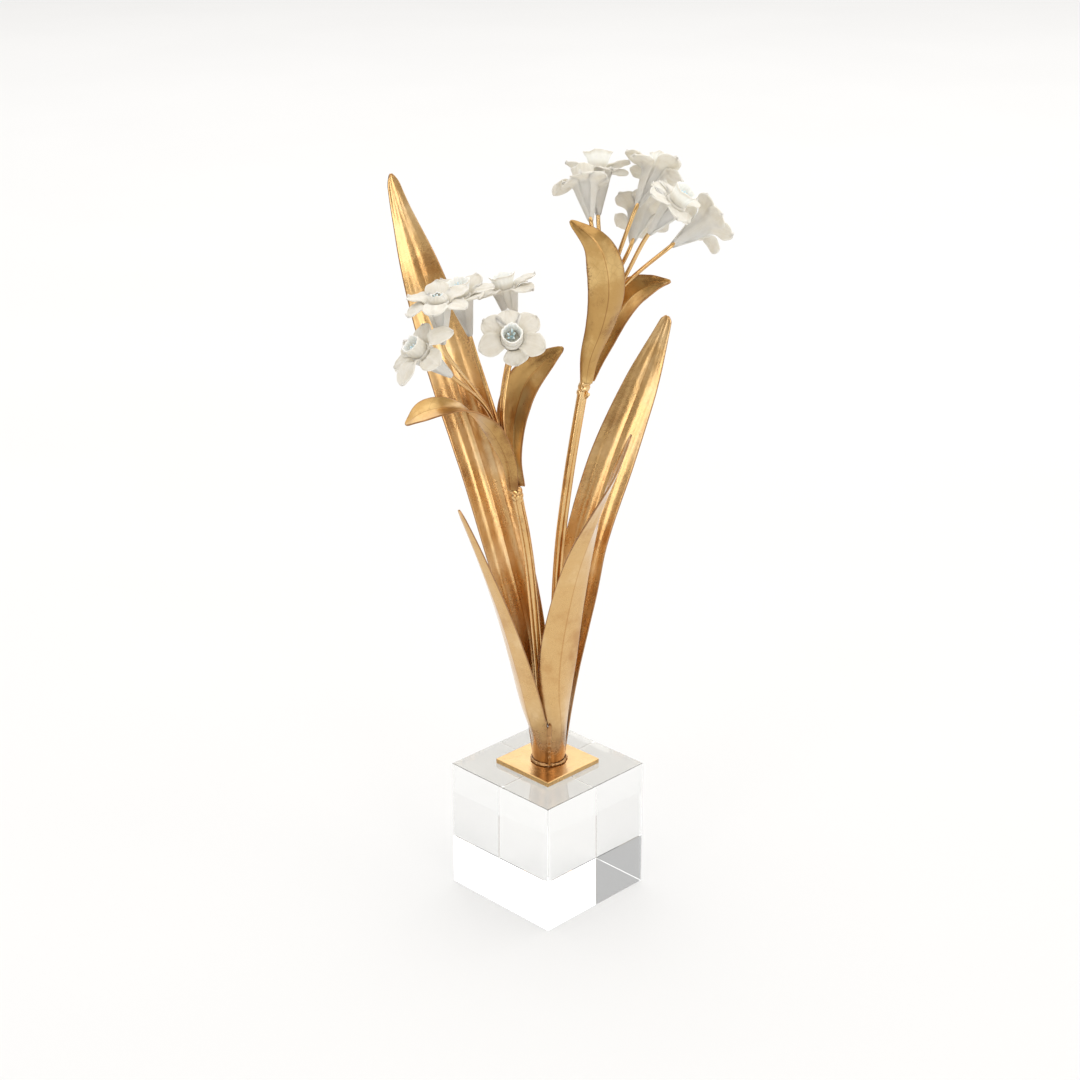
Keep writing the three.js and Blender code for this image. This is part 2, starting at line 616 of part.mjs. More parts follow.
let seed = 11;
for (const [side, head] of Object.entries(FLOWER_HEADS)) {
  addNode(plant, `stem_${side}`, flowerStem(head, seeded(seed)), GILT);
  head.flowers.forEach((spec, k) => {
    seed += 7;
    const random = seeded(seed);
    const bloom = new THREE.Group();
    const axis = vec(spec.axis).normalize();
    const right = new THREE.Vector3(1, 0, 0).addScaledVector(axis, -axis.x).normalize();
    bloom.setRotationFromMatrix(new THREE.Matrix4().makeBasis(right, axis.clone().cross(right), axis));
    bloom.position.copy(vec(spec.root));
    plant.add(bloom);
    addNode(bloom, `flower_${side}_${k + 1}`, porcelainFlower(spec, random), PORCELAIN);
    addNode(bloom, `stamens_${side}_${k + 1}`, stamens(spec, random), STAMEN_BLUE);
  });
}

export default object;
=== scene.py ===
"""A gilded metal and porcelain paperwhite narcissus on a clear block, dressed for rendering.

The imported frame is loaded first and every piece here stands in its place. Lengths are in
millimetres in the classes below and become metres when a mesh is placed. The plant is laid
out in a frame of its own, x to the right and y to the back of its front view, which is
turned by 45 degrees about the block's upright axis.
"""

import functools
import logging
import math
from collections.abc import Callable, Sequence
from dataclasses import dataclass, field
from enum import Enum

import bmesh
import bpy
from mathutils import Matrix, Vector, noise


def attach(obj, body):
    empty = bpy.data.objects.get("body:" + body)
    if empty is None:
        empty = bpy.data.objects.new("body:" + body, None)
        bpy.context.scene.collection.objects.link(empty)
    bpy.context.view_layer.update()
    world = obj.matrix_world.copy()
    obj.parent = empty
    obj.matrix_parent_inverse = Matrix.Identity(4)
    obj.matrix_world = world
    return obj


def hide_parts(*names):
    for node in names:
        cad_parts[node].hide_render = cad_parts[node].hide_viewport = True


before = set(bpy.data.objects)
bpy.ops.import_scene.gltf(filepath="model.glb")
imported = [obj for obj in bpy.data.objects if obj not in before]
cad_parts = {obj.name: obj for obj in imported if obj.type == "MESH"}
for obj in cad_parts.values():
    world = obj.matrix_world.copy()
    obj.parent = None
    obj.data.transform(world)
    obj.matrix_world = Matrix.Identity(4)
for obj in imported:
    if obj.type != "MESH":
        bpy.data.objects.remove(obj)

LOG = logging.getLogger("narcissus")
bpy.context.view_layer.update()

MM = 0.001
PLANT_TURN = math.radians(45)
TO_WORLD = Matrix.Scale(MM, 4)
PLANT_TO_WORLD = Matrix.Rotation(PLANT_TURN, 4, "Z") @ TO_WORLD

BLOCK_SIDE = 76.0
PLATE_SIDE = 41.0
PLATE_THICKNESS = 3.0
PLATE_TOP = BLOCK_SIDE + PLATE_THICKNESS
SEAT_GAP = 0.3
FOOT_X = 0.7
SHEATH_RADIUS = 8.5
SHEATH_SEAM = 0.6
LEAF_THICKNESS = 1.0
SPATHE_THICKNESS = 0.9
MERGE_DISTANCE = 1e-4
FIRST_SEED = 11
SEED_STEP = 7
# Marks a cup's inner wall, which takes painted light to lift the shade in the cup.
PAINTED_INNER_LIGHT = "painted_inner_light"

# The colour sockets of a Mix node, which share their names with its other sockets
MIX_FIRST, MIX_SECOND, MIX_RESULT = 6, 7, 2

Point = tuple[float, float, float]
Colour = tuple[float, float, float]
Span = tuple[float, float]
Socket = bpy.types.NodeSocket
Shell = bmesh.types.BMesh
Surface = Callable[[float, float], Vector]


def smooth(low: float, high: float, value: float) -> float:
    """Returns the smooth step of value from low to high."""
    share = min(max((value - low) / (high - low), 0.0), 1.0)
    return share * share * (3 - 2 * share)


def mix(low: float, high: float, share: float) -> float:
    """Returns the value that lies share of the way from low to high."""
    return low + (high - low) * share


def wander(x: float, y: float, z: float) -> float:
    """Returns the noise at a place, which wanders about 0."""
    return noise.noise(Vector((x, y, z)))


def aimed(place: Point, aim: Point) -> Matrix:
    """Returns the turn and place of a thing that looks along its own -z at a point of the plant."""
    where, towards = PLANT_TO_WORLD @ Vector(place), PLANT_TO_WORLD @ Vector(aim)
    return Matrix.Translation(where) @ (towards - where).to_track_quat("-Z", "Y").to_matrix().to_4x4()


def new_object(name: str, data: bpy.types.ID) -> bpy.types.Object:
    """Returns a new object with the data, in the scene."""
    item = bpy.data.objects.new(name, data)
    bpy.context.scene.collection.objects.link(item)
    return item


class Draws:
    """A small seeded generator, so that every run gives the same plant."""

    FACTOR = 1664525
    STEP = 1013904223
    RANGE = 4294967296

    def __init__(self, seed: int) -> None:
        """Starts the row of draws.

        Args:
            seed: where the row starts.
        """
        self.state = seed

    def draw(self) -> float:
        """Returns the next number, from 0 to 1."""
        self.state = (self.state * self.FACTOR + self.STEP) % self.RANGE
        return self.state / self.RANGE


class Curve:
    """A smooth curve through its points, at an even pace from each to the next."""

    def __init__(self, points: Sequence[Sequence[float]], taut: bool = False) -> None:
        """Keeps the points, with one more beyond each end.

        Args:
            points: the points that the curve passes through.
            taut: whether it stays close to its points where they are unevenly spaced.
        """
        self.taut = taut
        inner = [Vector(point) for point in points]
        self.points = [inner[0] * 2 - inner[1], *inner, inner[-1] * 2 - inner[-2]]
        self.spans = len(inner) - 1

    def point(self, share: float) -> Vector:
        """Returns the point at a share of the way along.

        Args:
            share: from 0 at the first point to 1 at the last.

        Returns:
            The point there.
        """
        place = min(max(share, 0.0), 1.0) * self.spans
        span = min(int(place), self.spans - 1)
        before, start, end, after = self.points[span:span + 4]
        leave, arrive = (end - before) * 0.5, (after - start) * 0.5
        if self.taut:
            ends = ((before, start), (start, end), (end, after))
            first, second, third = (math.sqrt((b - a).length) for a, b in ends)
            middle = (end - start) / second
            leave = ((start - before) / first - (end - before) / (first + second) + middle) * second
            arrive = (middle - (after - start) / (second + third) + (after - end) / third) * second
        x = place - span
        bend = (end - start) * 3 - leave * 2 - arrive
        twist = (start - end) * 2 + leave + arrive
        return start + leave * x + bend * x ** 2 + twist * x ** 3

    def heading(self, share: float) -> Vector:
        """Returns the unit direction of the curve at a share of the way along."""
        step = 1e-3
        return (self.point(share + step) - self.point(share - step)).normalized()


class Slot(Enum):
    """The record's material slots."""

    CLEAR = "clear_glass"
    GILDED = "gilded_metal"
    PALE_GILDING = "pale_gilding"
    PORCELAIN = "white_porcelain"
    BLUE = "pale_blue_porcelain"


class Grain(Enum):
    """What a finish's streaks follow."""

    ALONG_BLADE = "UV"
    ALL_OVER = "Object"


class NodeSheet:
    """Lays out the nodes of one material."""

    def __init__(self, name: str) -> None:
        """Starts an empty material with a surface shader.

        Args:
            name: the material's name.
        """
        self.material = bpy.data.materials.new(name)
        self.material.use_nodes = True
        self.tree = self.material.node_tree
        self.tree.nodes.clear()
        self.coordinates = self.tree.nodes.new("ShaderNodeTexCoord")
        self.shader = self.tree.nodes.new("ShaderNodeBsdfPrincipled")
        output = self.tree.nodes.new("ShaderNodeOutputMaterial")
        self.join(self.shader.outputs["BSDF"], output.inputs["Surface"])

    def join(self, source: Socket, target: Socket) -> None:
        """Links an output to an input."""
        self.tree.links.new(source, target)

    def feed(self, value: object, socket: Socket) -> None:
        """Links value to the socket if it is an output, and sets it otherwise."""
        if isinstance(value, Socket):
            self.join(value, socket)
        else:
            socket.default_value = value

    def shade(self, name: str, value: object) -> None:
        """Feeds an input of the surface shader."""
        self.feed(value, self.shader.inputs[name])

    def parts(self, vector: Socket) -> Sequence[Socket]:
        """Returns the x, y and z outputs of a vector."""
        node = self.tree.nodes.new("ShaderNodeSeparateXYZ")
        self.join(vector, node.inputs[0])
        return node.outputs

    def placed(self, grain: Grain, scale: Point = (1, 1, 1), turn: Point = (0, 0, 0)) -> Socket:
        """Returns coordinates stretched by a scale along each axis.

        Args:
            grain: which coordinates they are.
            scale: how many pattern units fit in one unit along each axis.
            turn: the pattern's rotation in radians.

        Returns:
            The vector output.
        """
        mapping = self.tree.nodes.new("ShaderNodeMapping")
        mapping.inputs["Scale"].default_value = scale
        mapping.inputs["Rotation"].default_value = turn
        self.join(self.coordinates.outputs[grain.value], mapping.inputs["Vector"])
        return mapping.outputs["Vector"]

    def noise(self, vector: Socket, scale: float, detail: float = 4.0,
              roughness: float = 0.55) -> Socket:
        """Returns a noise pattern's value.

        Args:
            vector: where it is read.
            scale: its scale.
            detail: its octaves.
            roughness: how strong the fine octaves are.

        Returns:
            The value output, about 0.5 on average.
        """
        node = self.tree.nodes.new("ShaderNodeTexNoise")
        node.inputs["Scale"].default_value = scale
        node.inputs["Detail"].default_value = detail
        node.inputs["Roughness"].default_value = roughness
        self.join(vector, node.inputs["Vector"])
        return node.outputs["Fac"]

    def cracks(self, vector: Socket, scale: float) -> Socket:
        """Returns the distance to the nearest edge of a net of cells.

        Args:
            vector: where it is read.
            scale: how many cells there are to a unit.

        Returns:
            The distance's output.
        """
        node = self.tree.nodes.new("ShaderNodeTexVoronoi")
        node.feature = "DISTANCE_TO_EDGE"
        node.inputs["Scale"].default_value = scale
        self.join(vector, node.inputs["Vector"])
        return node.outputs["Distance"]

    def ranged(self, value: Socket, low: float, high: float, to_low: float = 0.0,
               to_high: float = 1.0) -> Socket:
        """Returns value spread from the range low to high over another, and clamped.

        Args:
            value: the value output to spread.
            low: the value that gives to_low.
            high: the value that gives to_high.
            to_low: the result at low.
            to_high: the result at high.

        Returns:
            The result's output.
        """
        node = self.tree.nodes.new("ShaderNodeMapRange")
        node.interpolation_type = "SMOOTHSTEP"
        ends = {"From Min": low, "From Max": high, "To Min": to_low, "To Max": to_high}
        for name, number in ends.items():
            node.inputs[name].default_value = number
        self.join(value, node.inputs["Value"])
        return node.outputs["Result"]

    def maths(self, operation: str, first: object, second: object = 0.0) -> Socket:
        """Returns the result of a sum on one or two values.

        Args:
            operation: the Math node's operation.
            first: an output or a number.
            second: an output or a number.

        Returns:
            The result's output.
        """
        node = self.tree.nodes.new("ShaderNodeMath")
        node.operation = operation
        self.feed(first, node.inputs[0])
        self.feed(second, node.inputs[1])
        return node.outputs[0]

    def product(self, *values: object) -> Socket:
        """Returns the product of several values, of which the first is an output."""
        return functools.reduce(functools.partial(self.maths, "MULTIPLY"), values)

    def swing(self, pattern: Socket, reach: float) -> Socket:
        """Returns a pattern about 0.5 as a shift about 0, which is reach wide in all."""
        return self.product(self.maths("SUBTRACT", pattern, 0.5), reach)

    def blend(self, share: Socket, first: object, second: object) -> Socket:
        """Returns a colour mixed from two.

        Args:
            share: how much of the second there is.
            first: an output or a linear colour.
            second: an output or a linear colour.

        Returns:
            The mixed colour's output.
        """
        node = self.tree.nodes.new("ShaderNodeMix")
        node.data_type = "RGBA"
        self.join(share, node.inputs["Factor"])
        for value, socket in ((first, node.inputs[MIX_FIRST]), (second, node.inputs[MIX_SECOND])):
            self.feed(value if isinstance(value, Socket) else (*value, 1.0), socket)
        return node.outputs[MIX_RESULT]

    def relief(self, height: Socket, depth: float, over: object = None) -> Socket:
        """Returns a normal bent by a height pattern.

        Args:
            height: the pattern.
            depth: the pattern's depth in millimetres.
            over: a normal from a bump before this one.

        Returns:
            The normal's output.
        """
        bump = self.tree.nodes.new("ShaderNodeBump")
        bump.inputs["Distance"].default_value = depth * MM
        self.join(height, bump.inputs["Height"])
        if over is not None:
            self.join(over, bump.inputs["Normal"])
        return bump.outputs["Normal"]


@dataclass(frozen=True)
class Gilding:
    """Gold over base metal: gently beaten, finely crazed and worn in spots, with painted shade along a
    blade's rims and along its middle.

    Scales are pattern units to a metre, or for a blade's fibres to its breadth and length.
    Depths are in millimetres and the heat band's heights in metres. A pair of numbers is the
    range over which a pattern fades in. Places across a blade run from 0 at its middle to 0.5
    at its rims.
    """

    name: str
    grain: Grain
    pale: Colour
    body: Colour
    deep: Colour
    patina: Colour = (0.22, 0.085, 0.03)
    # A dark brown: painted shade along a blade's rims, and the heat tint low on the leaves.
    edge: Colour = (0.36, 0.17, 0.06)
    roughness: float = 0.27
    satin: Span = (-0.06, 0.08)
    fine_roughness: float = 0.1
    worn_roughness: float = 0.3
    wear: float = 0.7
    lacquer: float = 0.5
    lacquer_roughness: float = 0.22
    heat: float = 0.0
    heat_band: Span = (0.118, 0.086)
    heat_drift: float = 0.07
    # Painted shade: the band at a blade's rims that darkens towards the dark brown, and how far it goes.
    rim_shade: Span = (0.466, 0.492)
    rim_shade_strength: float = 0.85
    worn_margin: Span = (0.3, 0.48)
    worn_middle: float = 0.1
    # Painted shade: a thin dark line along a blade's middle, where its fold would be shaded.
    crease_shade: float = 0.7
    crease_shade_band: Span = (0.004, 0.022)
    crease_shade_drift: float = 0.02
    cloud_scale: float = 30
    cloud_depth: float = 0.5
    deep_clouds: Span = (0.32, 0.5)
    pale_clouds: Span = (0.5, 0.7)
    satin_clouds: Span = (0.3, 0.7)
    beaten_scale: float = 120
    beaten_depth: float = 0.1
    grain_scale: float = 1300
    grain_depth: float = 0.008
    craze_scale: float = 210
    craze_width: float = 0.035
    craze_strength: float = 0.3
    crazed_clouds: Span = (0.45, 0.65)
    patch_scale: float = 24
    patch_band: Span = (0.55, 0.68)
    spot_scale: float = 900
    spot_band: Span = (0.5, 0.6)
    blade_fibres: Point = (30, 2.2, 1)
    blade_fibre_scale: float = 2.2
    rod_fibres: Point = (1, 1, 0.15)
    rod_fibre_scale: float = 500
    fibre_depth: float = 0.006

    def material(self) -> bpy.types.Material:
        """Returns the finish as a material."""
        sheet = NodeSheet(self.name)
        here = sheet.placed(Grain.ALL_OVER)
        clouds = sheet.noise(here, self.cloud_scale, 5.0, 0.6)
        beaten = sheet.noise(here, self.beaten_scale, 3.0, 0.5)
        grain = sheet.noise(here, self.grain_scale, 3.0, 0.6)
        crazing = sheet.ranged(sheet.cracks(here, self.craze_scale), 0.0, self.craze_width, 1.0, 0.0)
        crazing = sheet.product(crazing, sheet.ranged(clouds, *self.crazed_clouds))
        gold = sheet.blend(sheet.ranged(clouds, *self.deep_clouds), self.deep, self.body)
        gold = sheet.blend(sheet.ranged(clouds, *self.pale_clouds), gold, self.pale)
        gold = sheet.blend(sheet.product(crazing, self.craze_strength), gold, self.deep)
        patches = sheet.ranged(sheet.noise(here, self.patch_scale, 4.0, 0.65), *self.patch_band)
        spots = sheet.ranged(sheet.noise(here, self.spot_scale, 4.0, 0.7), *self.spot_band)
        if self.grain is Grain.ALONG_BLADE:
            across = sheet.parts(sheet.coordinates.outputs["UV"])[0]
            across = sheet.maths("ABSOLUTE", sheet.maths("SUBTRACT", across, 0.5))
            patches = sheet.product(patches, sheet.ranged(across, *self.worn_margin, self.worn_middle, 1.0))
            # Painted shade: each blade's rims darken, standing in for the dark surroundings they mirror.
            rim = sheet.ranged(across, *self.rim_shade, 0.0, self.rim_shade_strength)
            gold = sheet.blend(rim, gold, self.edge)
            # Painted shade along the blade's middle, where its fold would be shaded.
            crease_shade = sheet.maths("ADD", across, sheet.swing(clouds, self.crease_shade_drift))
            crease_shade = sheet.ranged(crease_shade, *self.crease_shade_band, self.crease_shade, 0.0)
            gold = sheet.blend(crease_shade, gold, self.deep)
            along = sheet.placed(Grain.ALONG_BLADE, self.blade_fibres)
            fibres = sheet.noise(along, self.blade_fibre_scale, 4.0, 0.5)
        else:
            along = sheet.placed(Grain.ALL_OVER, self.rod_fibres)
            fibres = sheet.noise(along, self.rod_fibre_scale, 3.0, 0.5)
        worn = sheet.product(spots, patches, self.wear)
        if self.heat:
            height = sheet.maths("ADD", sheet.parts(here)[2], sheet.swing(clouds, self.heat_drift))
            near = sheet.ranged(height, *self.heat_band)
            gold = sheet.blend(sheet.product(near, self.heat), gold, self.edge)
        sheet.shade("Base Color", sheet.blend(worn, gold, self.patina))
        smooth_end, rough_end = (self.roughness + shift for shift in self.satin)
        satin = sheet.ranged(clouds, *self.satin_clouds, smooth_end, rough_end)
        satin = sheet.maths("ADD", satin, sheet.swing(grain, self.fine_roughness))
        sheet.shade("Roughness", sheet.maths("ADD", satin, sheet.product(worn, self.worn_roughness)))
        sheet.shade("Metallic", 1.0)
        sheet.shade("Coat Weight", self.lacquer)
        sheet.shade("Coat Roughness", self.lacquer_roughness)
        normal = sheet.relief(clouds, self.cloud_depth)
        normal = sheet.relief(beaten, self.beaten_depth, normal)
        normal = sheet.relief(fibres, self.fibre_depth, normal)
        sheet.shade("Normal", sheet.relief(grain, self.grain_depth, normal))
        return sheet.material


@dataclass(frozen=True)
class Porcelain:
    """Unglazed white porcelain with fine veins along each petal, and painted light on each cup's inner wall.
    """

    name: str = "white porcelain"
    light: Colour = (0.735, 0.712, 0.65)
    shade: Colour = (0.68, 0.645, 0.565)
    # Painted light: the lighter colour of a cup's inner wall, lifting the shade in the cup.
    painted_inner_light: Colour = (0.93, 0.94, 0.89)
    vein_stretch: Point = (22, 0.9, 1)
    vein_scale: float = 2.0
    vein_share: float = 0.4
    vein_depth: float = 0.13
    cloud_scale: float = 160
    cloud_share: float = 0.6
    cloud_depth: float = 0.08
    grain_scale: float = 2600
    grain_depth: float = 0.008
    tone_band: Span = (0.36, 0.6)
    satin_clouds: Span = (0.3, 0.7)
    satin: Span = (0.5, 0.66)
    glow_share: float = 0.6
    glow_colour: Colour = (1.0, 0.96, 0.88)
    glow_depth: float = 2.2

    def material(self) -> bpy.types.Material:
        """Returns the finish as a material."""
        sheet = NodeSheet(self.name)
        here = sheet.placed(Grain.ALL_OVER)
        veins = sheet.noise(sheet.placed(Grain.ALONG_BLADE, self.vein_stretch), self.vein_scale, 4.0, 0.55)
        clouds = sheet.noise(here, self.cloud_scale, 4.0, 0.55)
        grain = sheet.noise(here, self.grain_scale, 2.0, 0.5)
        tone = sheet.product(clouds, self.cloud_share)
        tone = sheet.maths("ADD", sheet.product(veins, self.vein_share), tone)
        colour = sheet.blend(sheet.ranged(tone, *self.tone_band), self.shade, self.light)
        # Painted light on the cups' inner walls.
        inside = sheet.tree.nodes.new("ShaderNodeAttribute")
        inside.attribute_name = PAINTED_INNER_LIGHT
        sheet.shade("Base Color", sheet.blend(inside.outputs["Fac"], colour, self.painted_inner_light))
        sheet.shade("Roughness", sheet.ranged(clouds, *self.satin_clouds, *self.satin))
        sheet.shade("Subsurface Weight", self.glow_share)
        sheet.shade("Subsurface Radius", self.glow_colour)
        sheet.shade("Subsurface Scale", self.glow_depth * MM)
        veined = sheet.relief(veins, self.vein_depth)
        pressed = sheet.relief(clouds, self.cloud_depth, veined)
        sheet.shade("Normal", sheet.relief(grain, self.grain_depth, pressed))
        return sheet.material


@dataclass(frozen=True)
class BlueGlaze:
    """Pale blue half glossy glaze, thinner and lighter in places."""

    name: str = "pale blue glaze"
    thin: Colour = (0.8, 0.89, 0.91)
    pooled: Colour = (0.57, 0.78, 0.86)
    cloud_scale: float = 700
    cloud_depth: float = 0.04
    thin_clouds: Span = (0.35, 0.65)
    satin_clouds: Span = (0.3, 0.7)
    satin: Span = (0.22, 0.4)
    glow_share: float = 0.1
    glow_depth: float = 0.5

    def material(self) -> bpy.types.Material:
        """Returns the finish as a material."""
        sheet = NodeSheet(self.name)
        clouds = sheet.noise(sheet.placed(Grain.ALL_OVER), self.cloud_scale, 3.0, 0.6)
        colour = sheet.blend(sheet.ranged(clouds, *self.thin_clouds), self.pooled, self.thin)
        sheet.shade("Base Color", colour)
        sheet.shade("Roughness", sheet.ranged(clouds, *self.satin_clouds, *self.satin))
        sheet.shade("Normal", sheet.relief(clouds, self.cloud_depth))
        sheet.shade("Subsurface Weight", self.glow_share)
        sheet.shade("Subsurface Scale", self.glow_depth * MM)
        return sheet.material


@dataclass(frozen=True)
class ClearBlock:
    """Clear polished block with faint smears on its faces, and painted warm light tinted into its top."""

    name: str = "clear block"
    clear: Colour = (0.985, 0.99, 0.985)
    smeared: Colour = (0.95, 0.96, 0.95)
    # Painted light: a warm tint in the top skin, standing in for warm light and the plate's reflection on
    # the top face, and the skin's depth.
    painted_top_warmth: Colour = (0.98, 0.945, 0.86)
    painted_warmth_skin: Span = (0.4, 0.2)
    smear_stretch: Point = (1, 1, 2.2)
    smear_scale: float = 24
    tinted_smears: Span = (0.5, 0.75)
    dull_smears: Span = (0.55, 0.8)
    dullness: float = 0.015
    refraction: float = 1.49

    def material(self) -> bpy.types.Material:
        """Returns the finish as a material."""
        sheet = NodeSheet(self.name)
        smears = sheet.noise(sheet.placed(Grain.ALL_OVER, self.smear_stretch), self.smear_scale, 5.0, 0.6)
        height = sheet.parts(sheet.coordinates.outputs["Object"])[2]
        # Painted light: only the top skin is tinted warm.
        top = sheet.ranged(height, *((BLOCK_SIDE - depth) * MM for depth in self.painted_warmth_skin))
        glass = sheet.blend(sheet.ranged(smears, *self.tinted_smears), self.clear, self.smeared)
        sheet.shade("Base Color", sheet.blend(top, glass, self.painted_top_warmth))
        sheet.shade("Roughness", sheet.ranged(smears, *self.dull_smears, 0.0, self.dullness))
        sheet.shade("Transmission Weight", 1.0)
        sheet.shade("IOR", self.refraction)
        return sheet.material


@dataclass(frozen=True)
class PaleFloor:
    """Pale matt floor sheet, lit from below as a light table is, but not on its far left."""

    name: str = "pale floor"
    near: Colour = (0.36, 0.36, 0.357)
    far: Colour = (0.37, 0.37, 0.367)
    dim: Colour = (0.32, 0.29, 0.25)
    lit: Colour = (1.0, 1.0, 1.0)
    unlit: Colour = (0.0, 0.0, 0.0)
    glow: float = 0.5
    roughness: float = 0.9
    tint_scale: float = 3
    tint_band: Span = (0.3, 0.7)
    left_fade: Span = (-0.32, -0.95)
    spread: float = 0.3

    def material(self) -> bpy.types.Material:
        """Returns the finish as a material."""
        sheet = NodeSheet(self.name)
        tint = sheet.noise(sheet.placed(Grain.ALL_OVER), self.tint_scale, 2.0, 0.5)
        right, back, _ = sheet.parts(sheet.placed(Grain.ALL_OVER, turn=(0, 0, -PLANT_TURN)))
        behind = sheet.product(sheet.maths("MAXIMUM", back, 0.0), self.spread)
        left = sheet.ranged(sheet.maths("ADD", right, behind), *self.left_fade)
        pale = sheet.blend(sheet.ranged(tint, *self.tint_band), self.near, self.far)
        sheet.shade("Base Color", sheet.blend(left, pale, self.dim))
        sheet.shade("Roughness", self.roughness)
        sheet.shade("Emission Color", sheet.blend(left, self.lit, self.unlit))
        sheet.shade("Emission Strength", self.glow)
        return sheet.material


def new_sheet(surface: Surface, across: int, along: int, thickness: float) -> Shell:
    """Makes a bent sheet from a flat grid, with a UV map across and along it.

    Args:
        surface: gives the middle face at u from -1 to 1 across and t from 0 to 1 along.
        across: the number of grid cells across.
        along: the number of grid cells along.
        thickness: the sheet's thickness.

    Returns:
        The sheet as a closed shell.
    """
    mesh = bmesh.new()
    mesh.loops.layers.uv.new("UVMap")
    bmesh.ops.create_grid(mesh, x_segments=across, y_segments=along, size=1.0, calc_uvs=True)
    for vertex in mesh.verts:
        vertex.co = surface(vertex.co.x, (vertex.co.y + 1) / 2)
    mesh.normal_update()
    for vertex, shift in [(v, v.normal * (thickness / 2)) for v in mesh.verts]:
        vertex.co += shift
    bmesh.ops.solidify(mesh, geom=mesh.faces[:], thickness=thickness)
    bmesh.ops.recalc_face_normals(mesh, faces=mesh.faces[:])
    return mesh


def new_rod(curve: Curve, radius: Callable[[float], float], sides: int, steps: int) -> Shell:
    """Makes a round rod along a curve by rolling up a flat grid.

    Args:
        curve: the rod's centre line.
        radius: gives the radius at a share of the way along.
        sides: the number of cells round the rod.
        steps: the number of cells along it.

    Returns:
        The rod with closed ends.
    """
    side = curve.heading(0).orthogonal().normalized()
    frames = []
    for step in range(steps + 1):
        along = curve.heading(step / steps)
        side = (side - along * side.dot(along)).normalized()
        frames.append((curve.point(step / steps), side.copy(), along.cross(side)))
    mesh = bmesh.new()
    bmesh.ops.create_grid(mesh, x_segments=sides, y_segments=steps, size=1.0)
    for vertex in mesh.verts:
        share = (vertex.co.y + 1) / 2
        centre, first, second = frames[round(share * steps)]
        angle = math.pi * vertex.co.x
        vertex.co = centre + (first * math.cos(angle) + second * math.sin(angle)) * radius(share)
    bmesh.ops.remove_doubles(mesh, verts=mesh.verts[:], dist=MERGE_DISTANCE)
    bmesh.ops.holes_fill(mesh, edges=[e for e in mesh.edges if e.is_boundary], sides=0)
    bmesh.ops.recalc_face_normals(mesh, faces=mesh.faces[:])
    return mesh


def new_turned(profile: Sequence[Span], steps: int) -> Shell:
    """Turns a profile about the z axis.

    Args:
        profile: points as radius and height. A closed profile ends on its first point.
        steps: the number of cells round.

    Returns:
        The turned body.
    """
    mesh = bmesh.new()
    closed = profile[0] == profile[-1]
    ring = [mesh.verts.new((radius, 0, height)) for radius, height in profile[:len(profile) - closed]]
    edges = [mesh.edges.new(pair) for pair in zip(ring, ring[1:])]
    if closed:
        edges.append(mesh.edges.new((ring[-1], ring[0])))
    bmesh.ops.spin(mesh, geom=ring + edges, cent=(0, 0, 0), axis=(0, 0, 1), angle=2 * math.pi,
                   steps=steps, use_merge=True)
    bmesh.ops.remove_doubles(mesh, verts=mesh.verts[:], dist=MERGE_DISTANCE)
    bmesh.ops.recalc_face_normals(mesh, faces=mesh.faces[:])
    return mesh


def new_lump(centre: Sequence[float], size: Sequence[float], unevenness: float,
             place: float) -> Shell:
    """Makes an uneven lump of weld metal.

    Args:
        centre: its middle.
        size: its half size along each axis.
        unevenness: the share of its radius that it varies by.
        place: where the pattern is read, so that no two lumps are alike.

    Returns:
        The lump.
    """
    mesh = bmesh.new()
    bmesh.ops.create_icosphere(mesh, subdivisions=3, radius=1.0)
    for vertex in mesh.verts:
        swell = 1 + unevenness * noise.noise(vertex.co * 1.7 + Vector((place, place, place)))
        vertex.co = Vector(a * b * swell for a, b in zip(vertex.co, size)) + Vector(centre)
    return mesh


def new_bevelled_box(size: Sequence[float], centre: Sequence[float], offset: float,
                     segments: int) -> Shell:
    """Makes a box with rounded edges.

    Args:
        size: its sides.
        centre: its middle.
        offset: the width of the rounding.
        segments: the number of faces across the rounding.

    Returns:
        The box.
    """
    mesh = bmesh.new()
    bmesh.ops.create_cube(mesh, size=1.0)
    bmesh.ops.scale(mesh, vec=size, verts=mesh.verts[:])
    bmesh.ops.translate(mesh, vec=centre, verts=mesh.verts[:])
    bmesh.ops.bevel(mesh, geom=mesh.edges[:], offset=offset, offset_type="OFFSET", segments=segments,
                    profile=0.5, affect="EDGES", clamp_overlap=True, material=-1)
    return mesh


@dataclass
class Piece:
    """A visible piece that gathers shells and takes the place of a node."""

    node: str
    slot: Slot
    place: Matrix = field(default_factory=lambda: PLANT_TO_WORLD.copy())
    smooth_levels: int = 1
    body: Shell = field(default_factory=bmesh.new)

    def add(self, shell: Shell, place: Matrix | None = None) -> None:
        """Adds a shell to the piece and frees it.

        Args:
            shell: the shell in millimetres.
            place: where it goes in the plant, if it isn't there yet.
        """
        if place is not None:
            bmesh.ops.transform(shell, matrix=place, verts=shell.verts[:])
        passing = bpy.data.meshes.new("passing")
        shell.to_mesh(passing)
        shell.free()
        self.body.from_mesh(passing)
        bpy.data.meshes.remove(passing)

    def finish(self, material: bpy.types.Material, sharp: bool = False) -> None:
        """Places the piece in the frame.

        Args:
            material: its finish.
            sharp: whether its faces stay flat.
        """
        bmesh.ops.transform(self.body, matrix=self.place, verts=self.body.verts[:])
        for face in self.body.faces:
            face.smooth = not sharp
        label = f"finished_{self.node}"
        mesh = bpy.data.meshes.new(label)
        self.body.to_mesh(mesh)
        self.body.free()
        mesh.materials.append(material)
        item = new_object(label, mesh)
        if self.smooth_levels:
            finer = item.modifiers.new("finer", "SUBSURF")
            finer.levels = finer.render_levels = self.smooth_levels
        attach(item, "root")
        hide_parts(self.node)
        LOG.info("%s: %d faces", self.node, len(mesh.polygons))


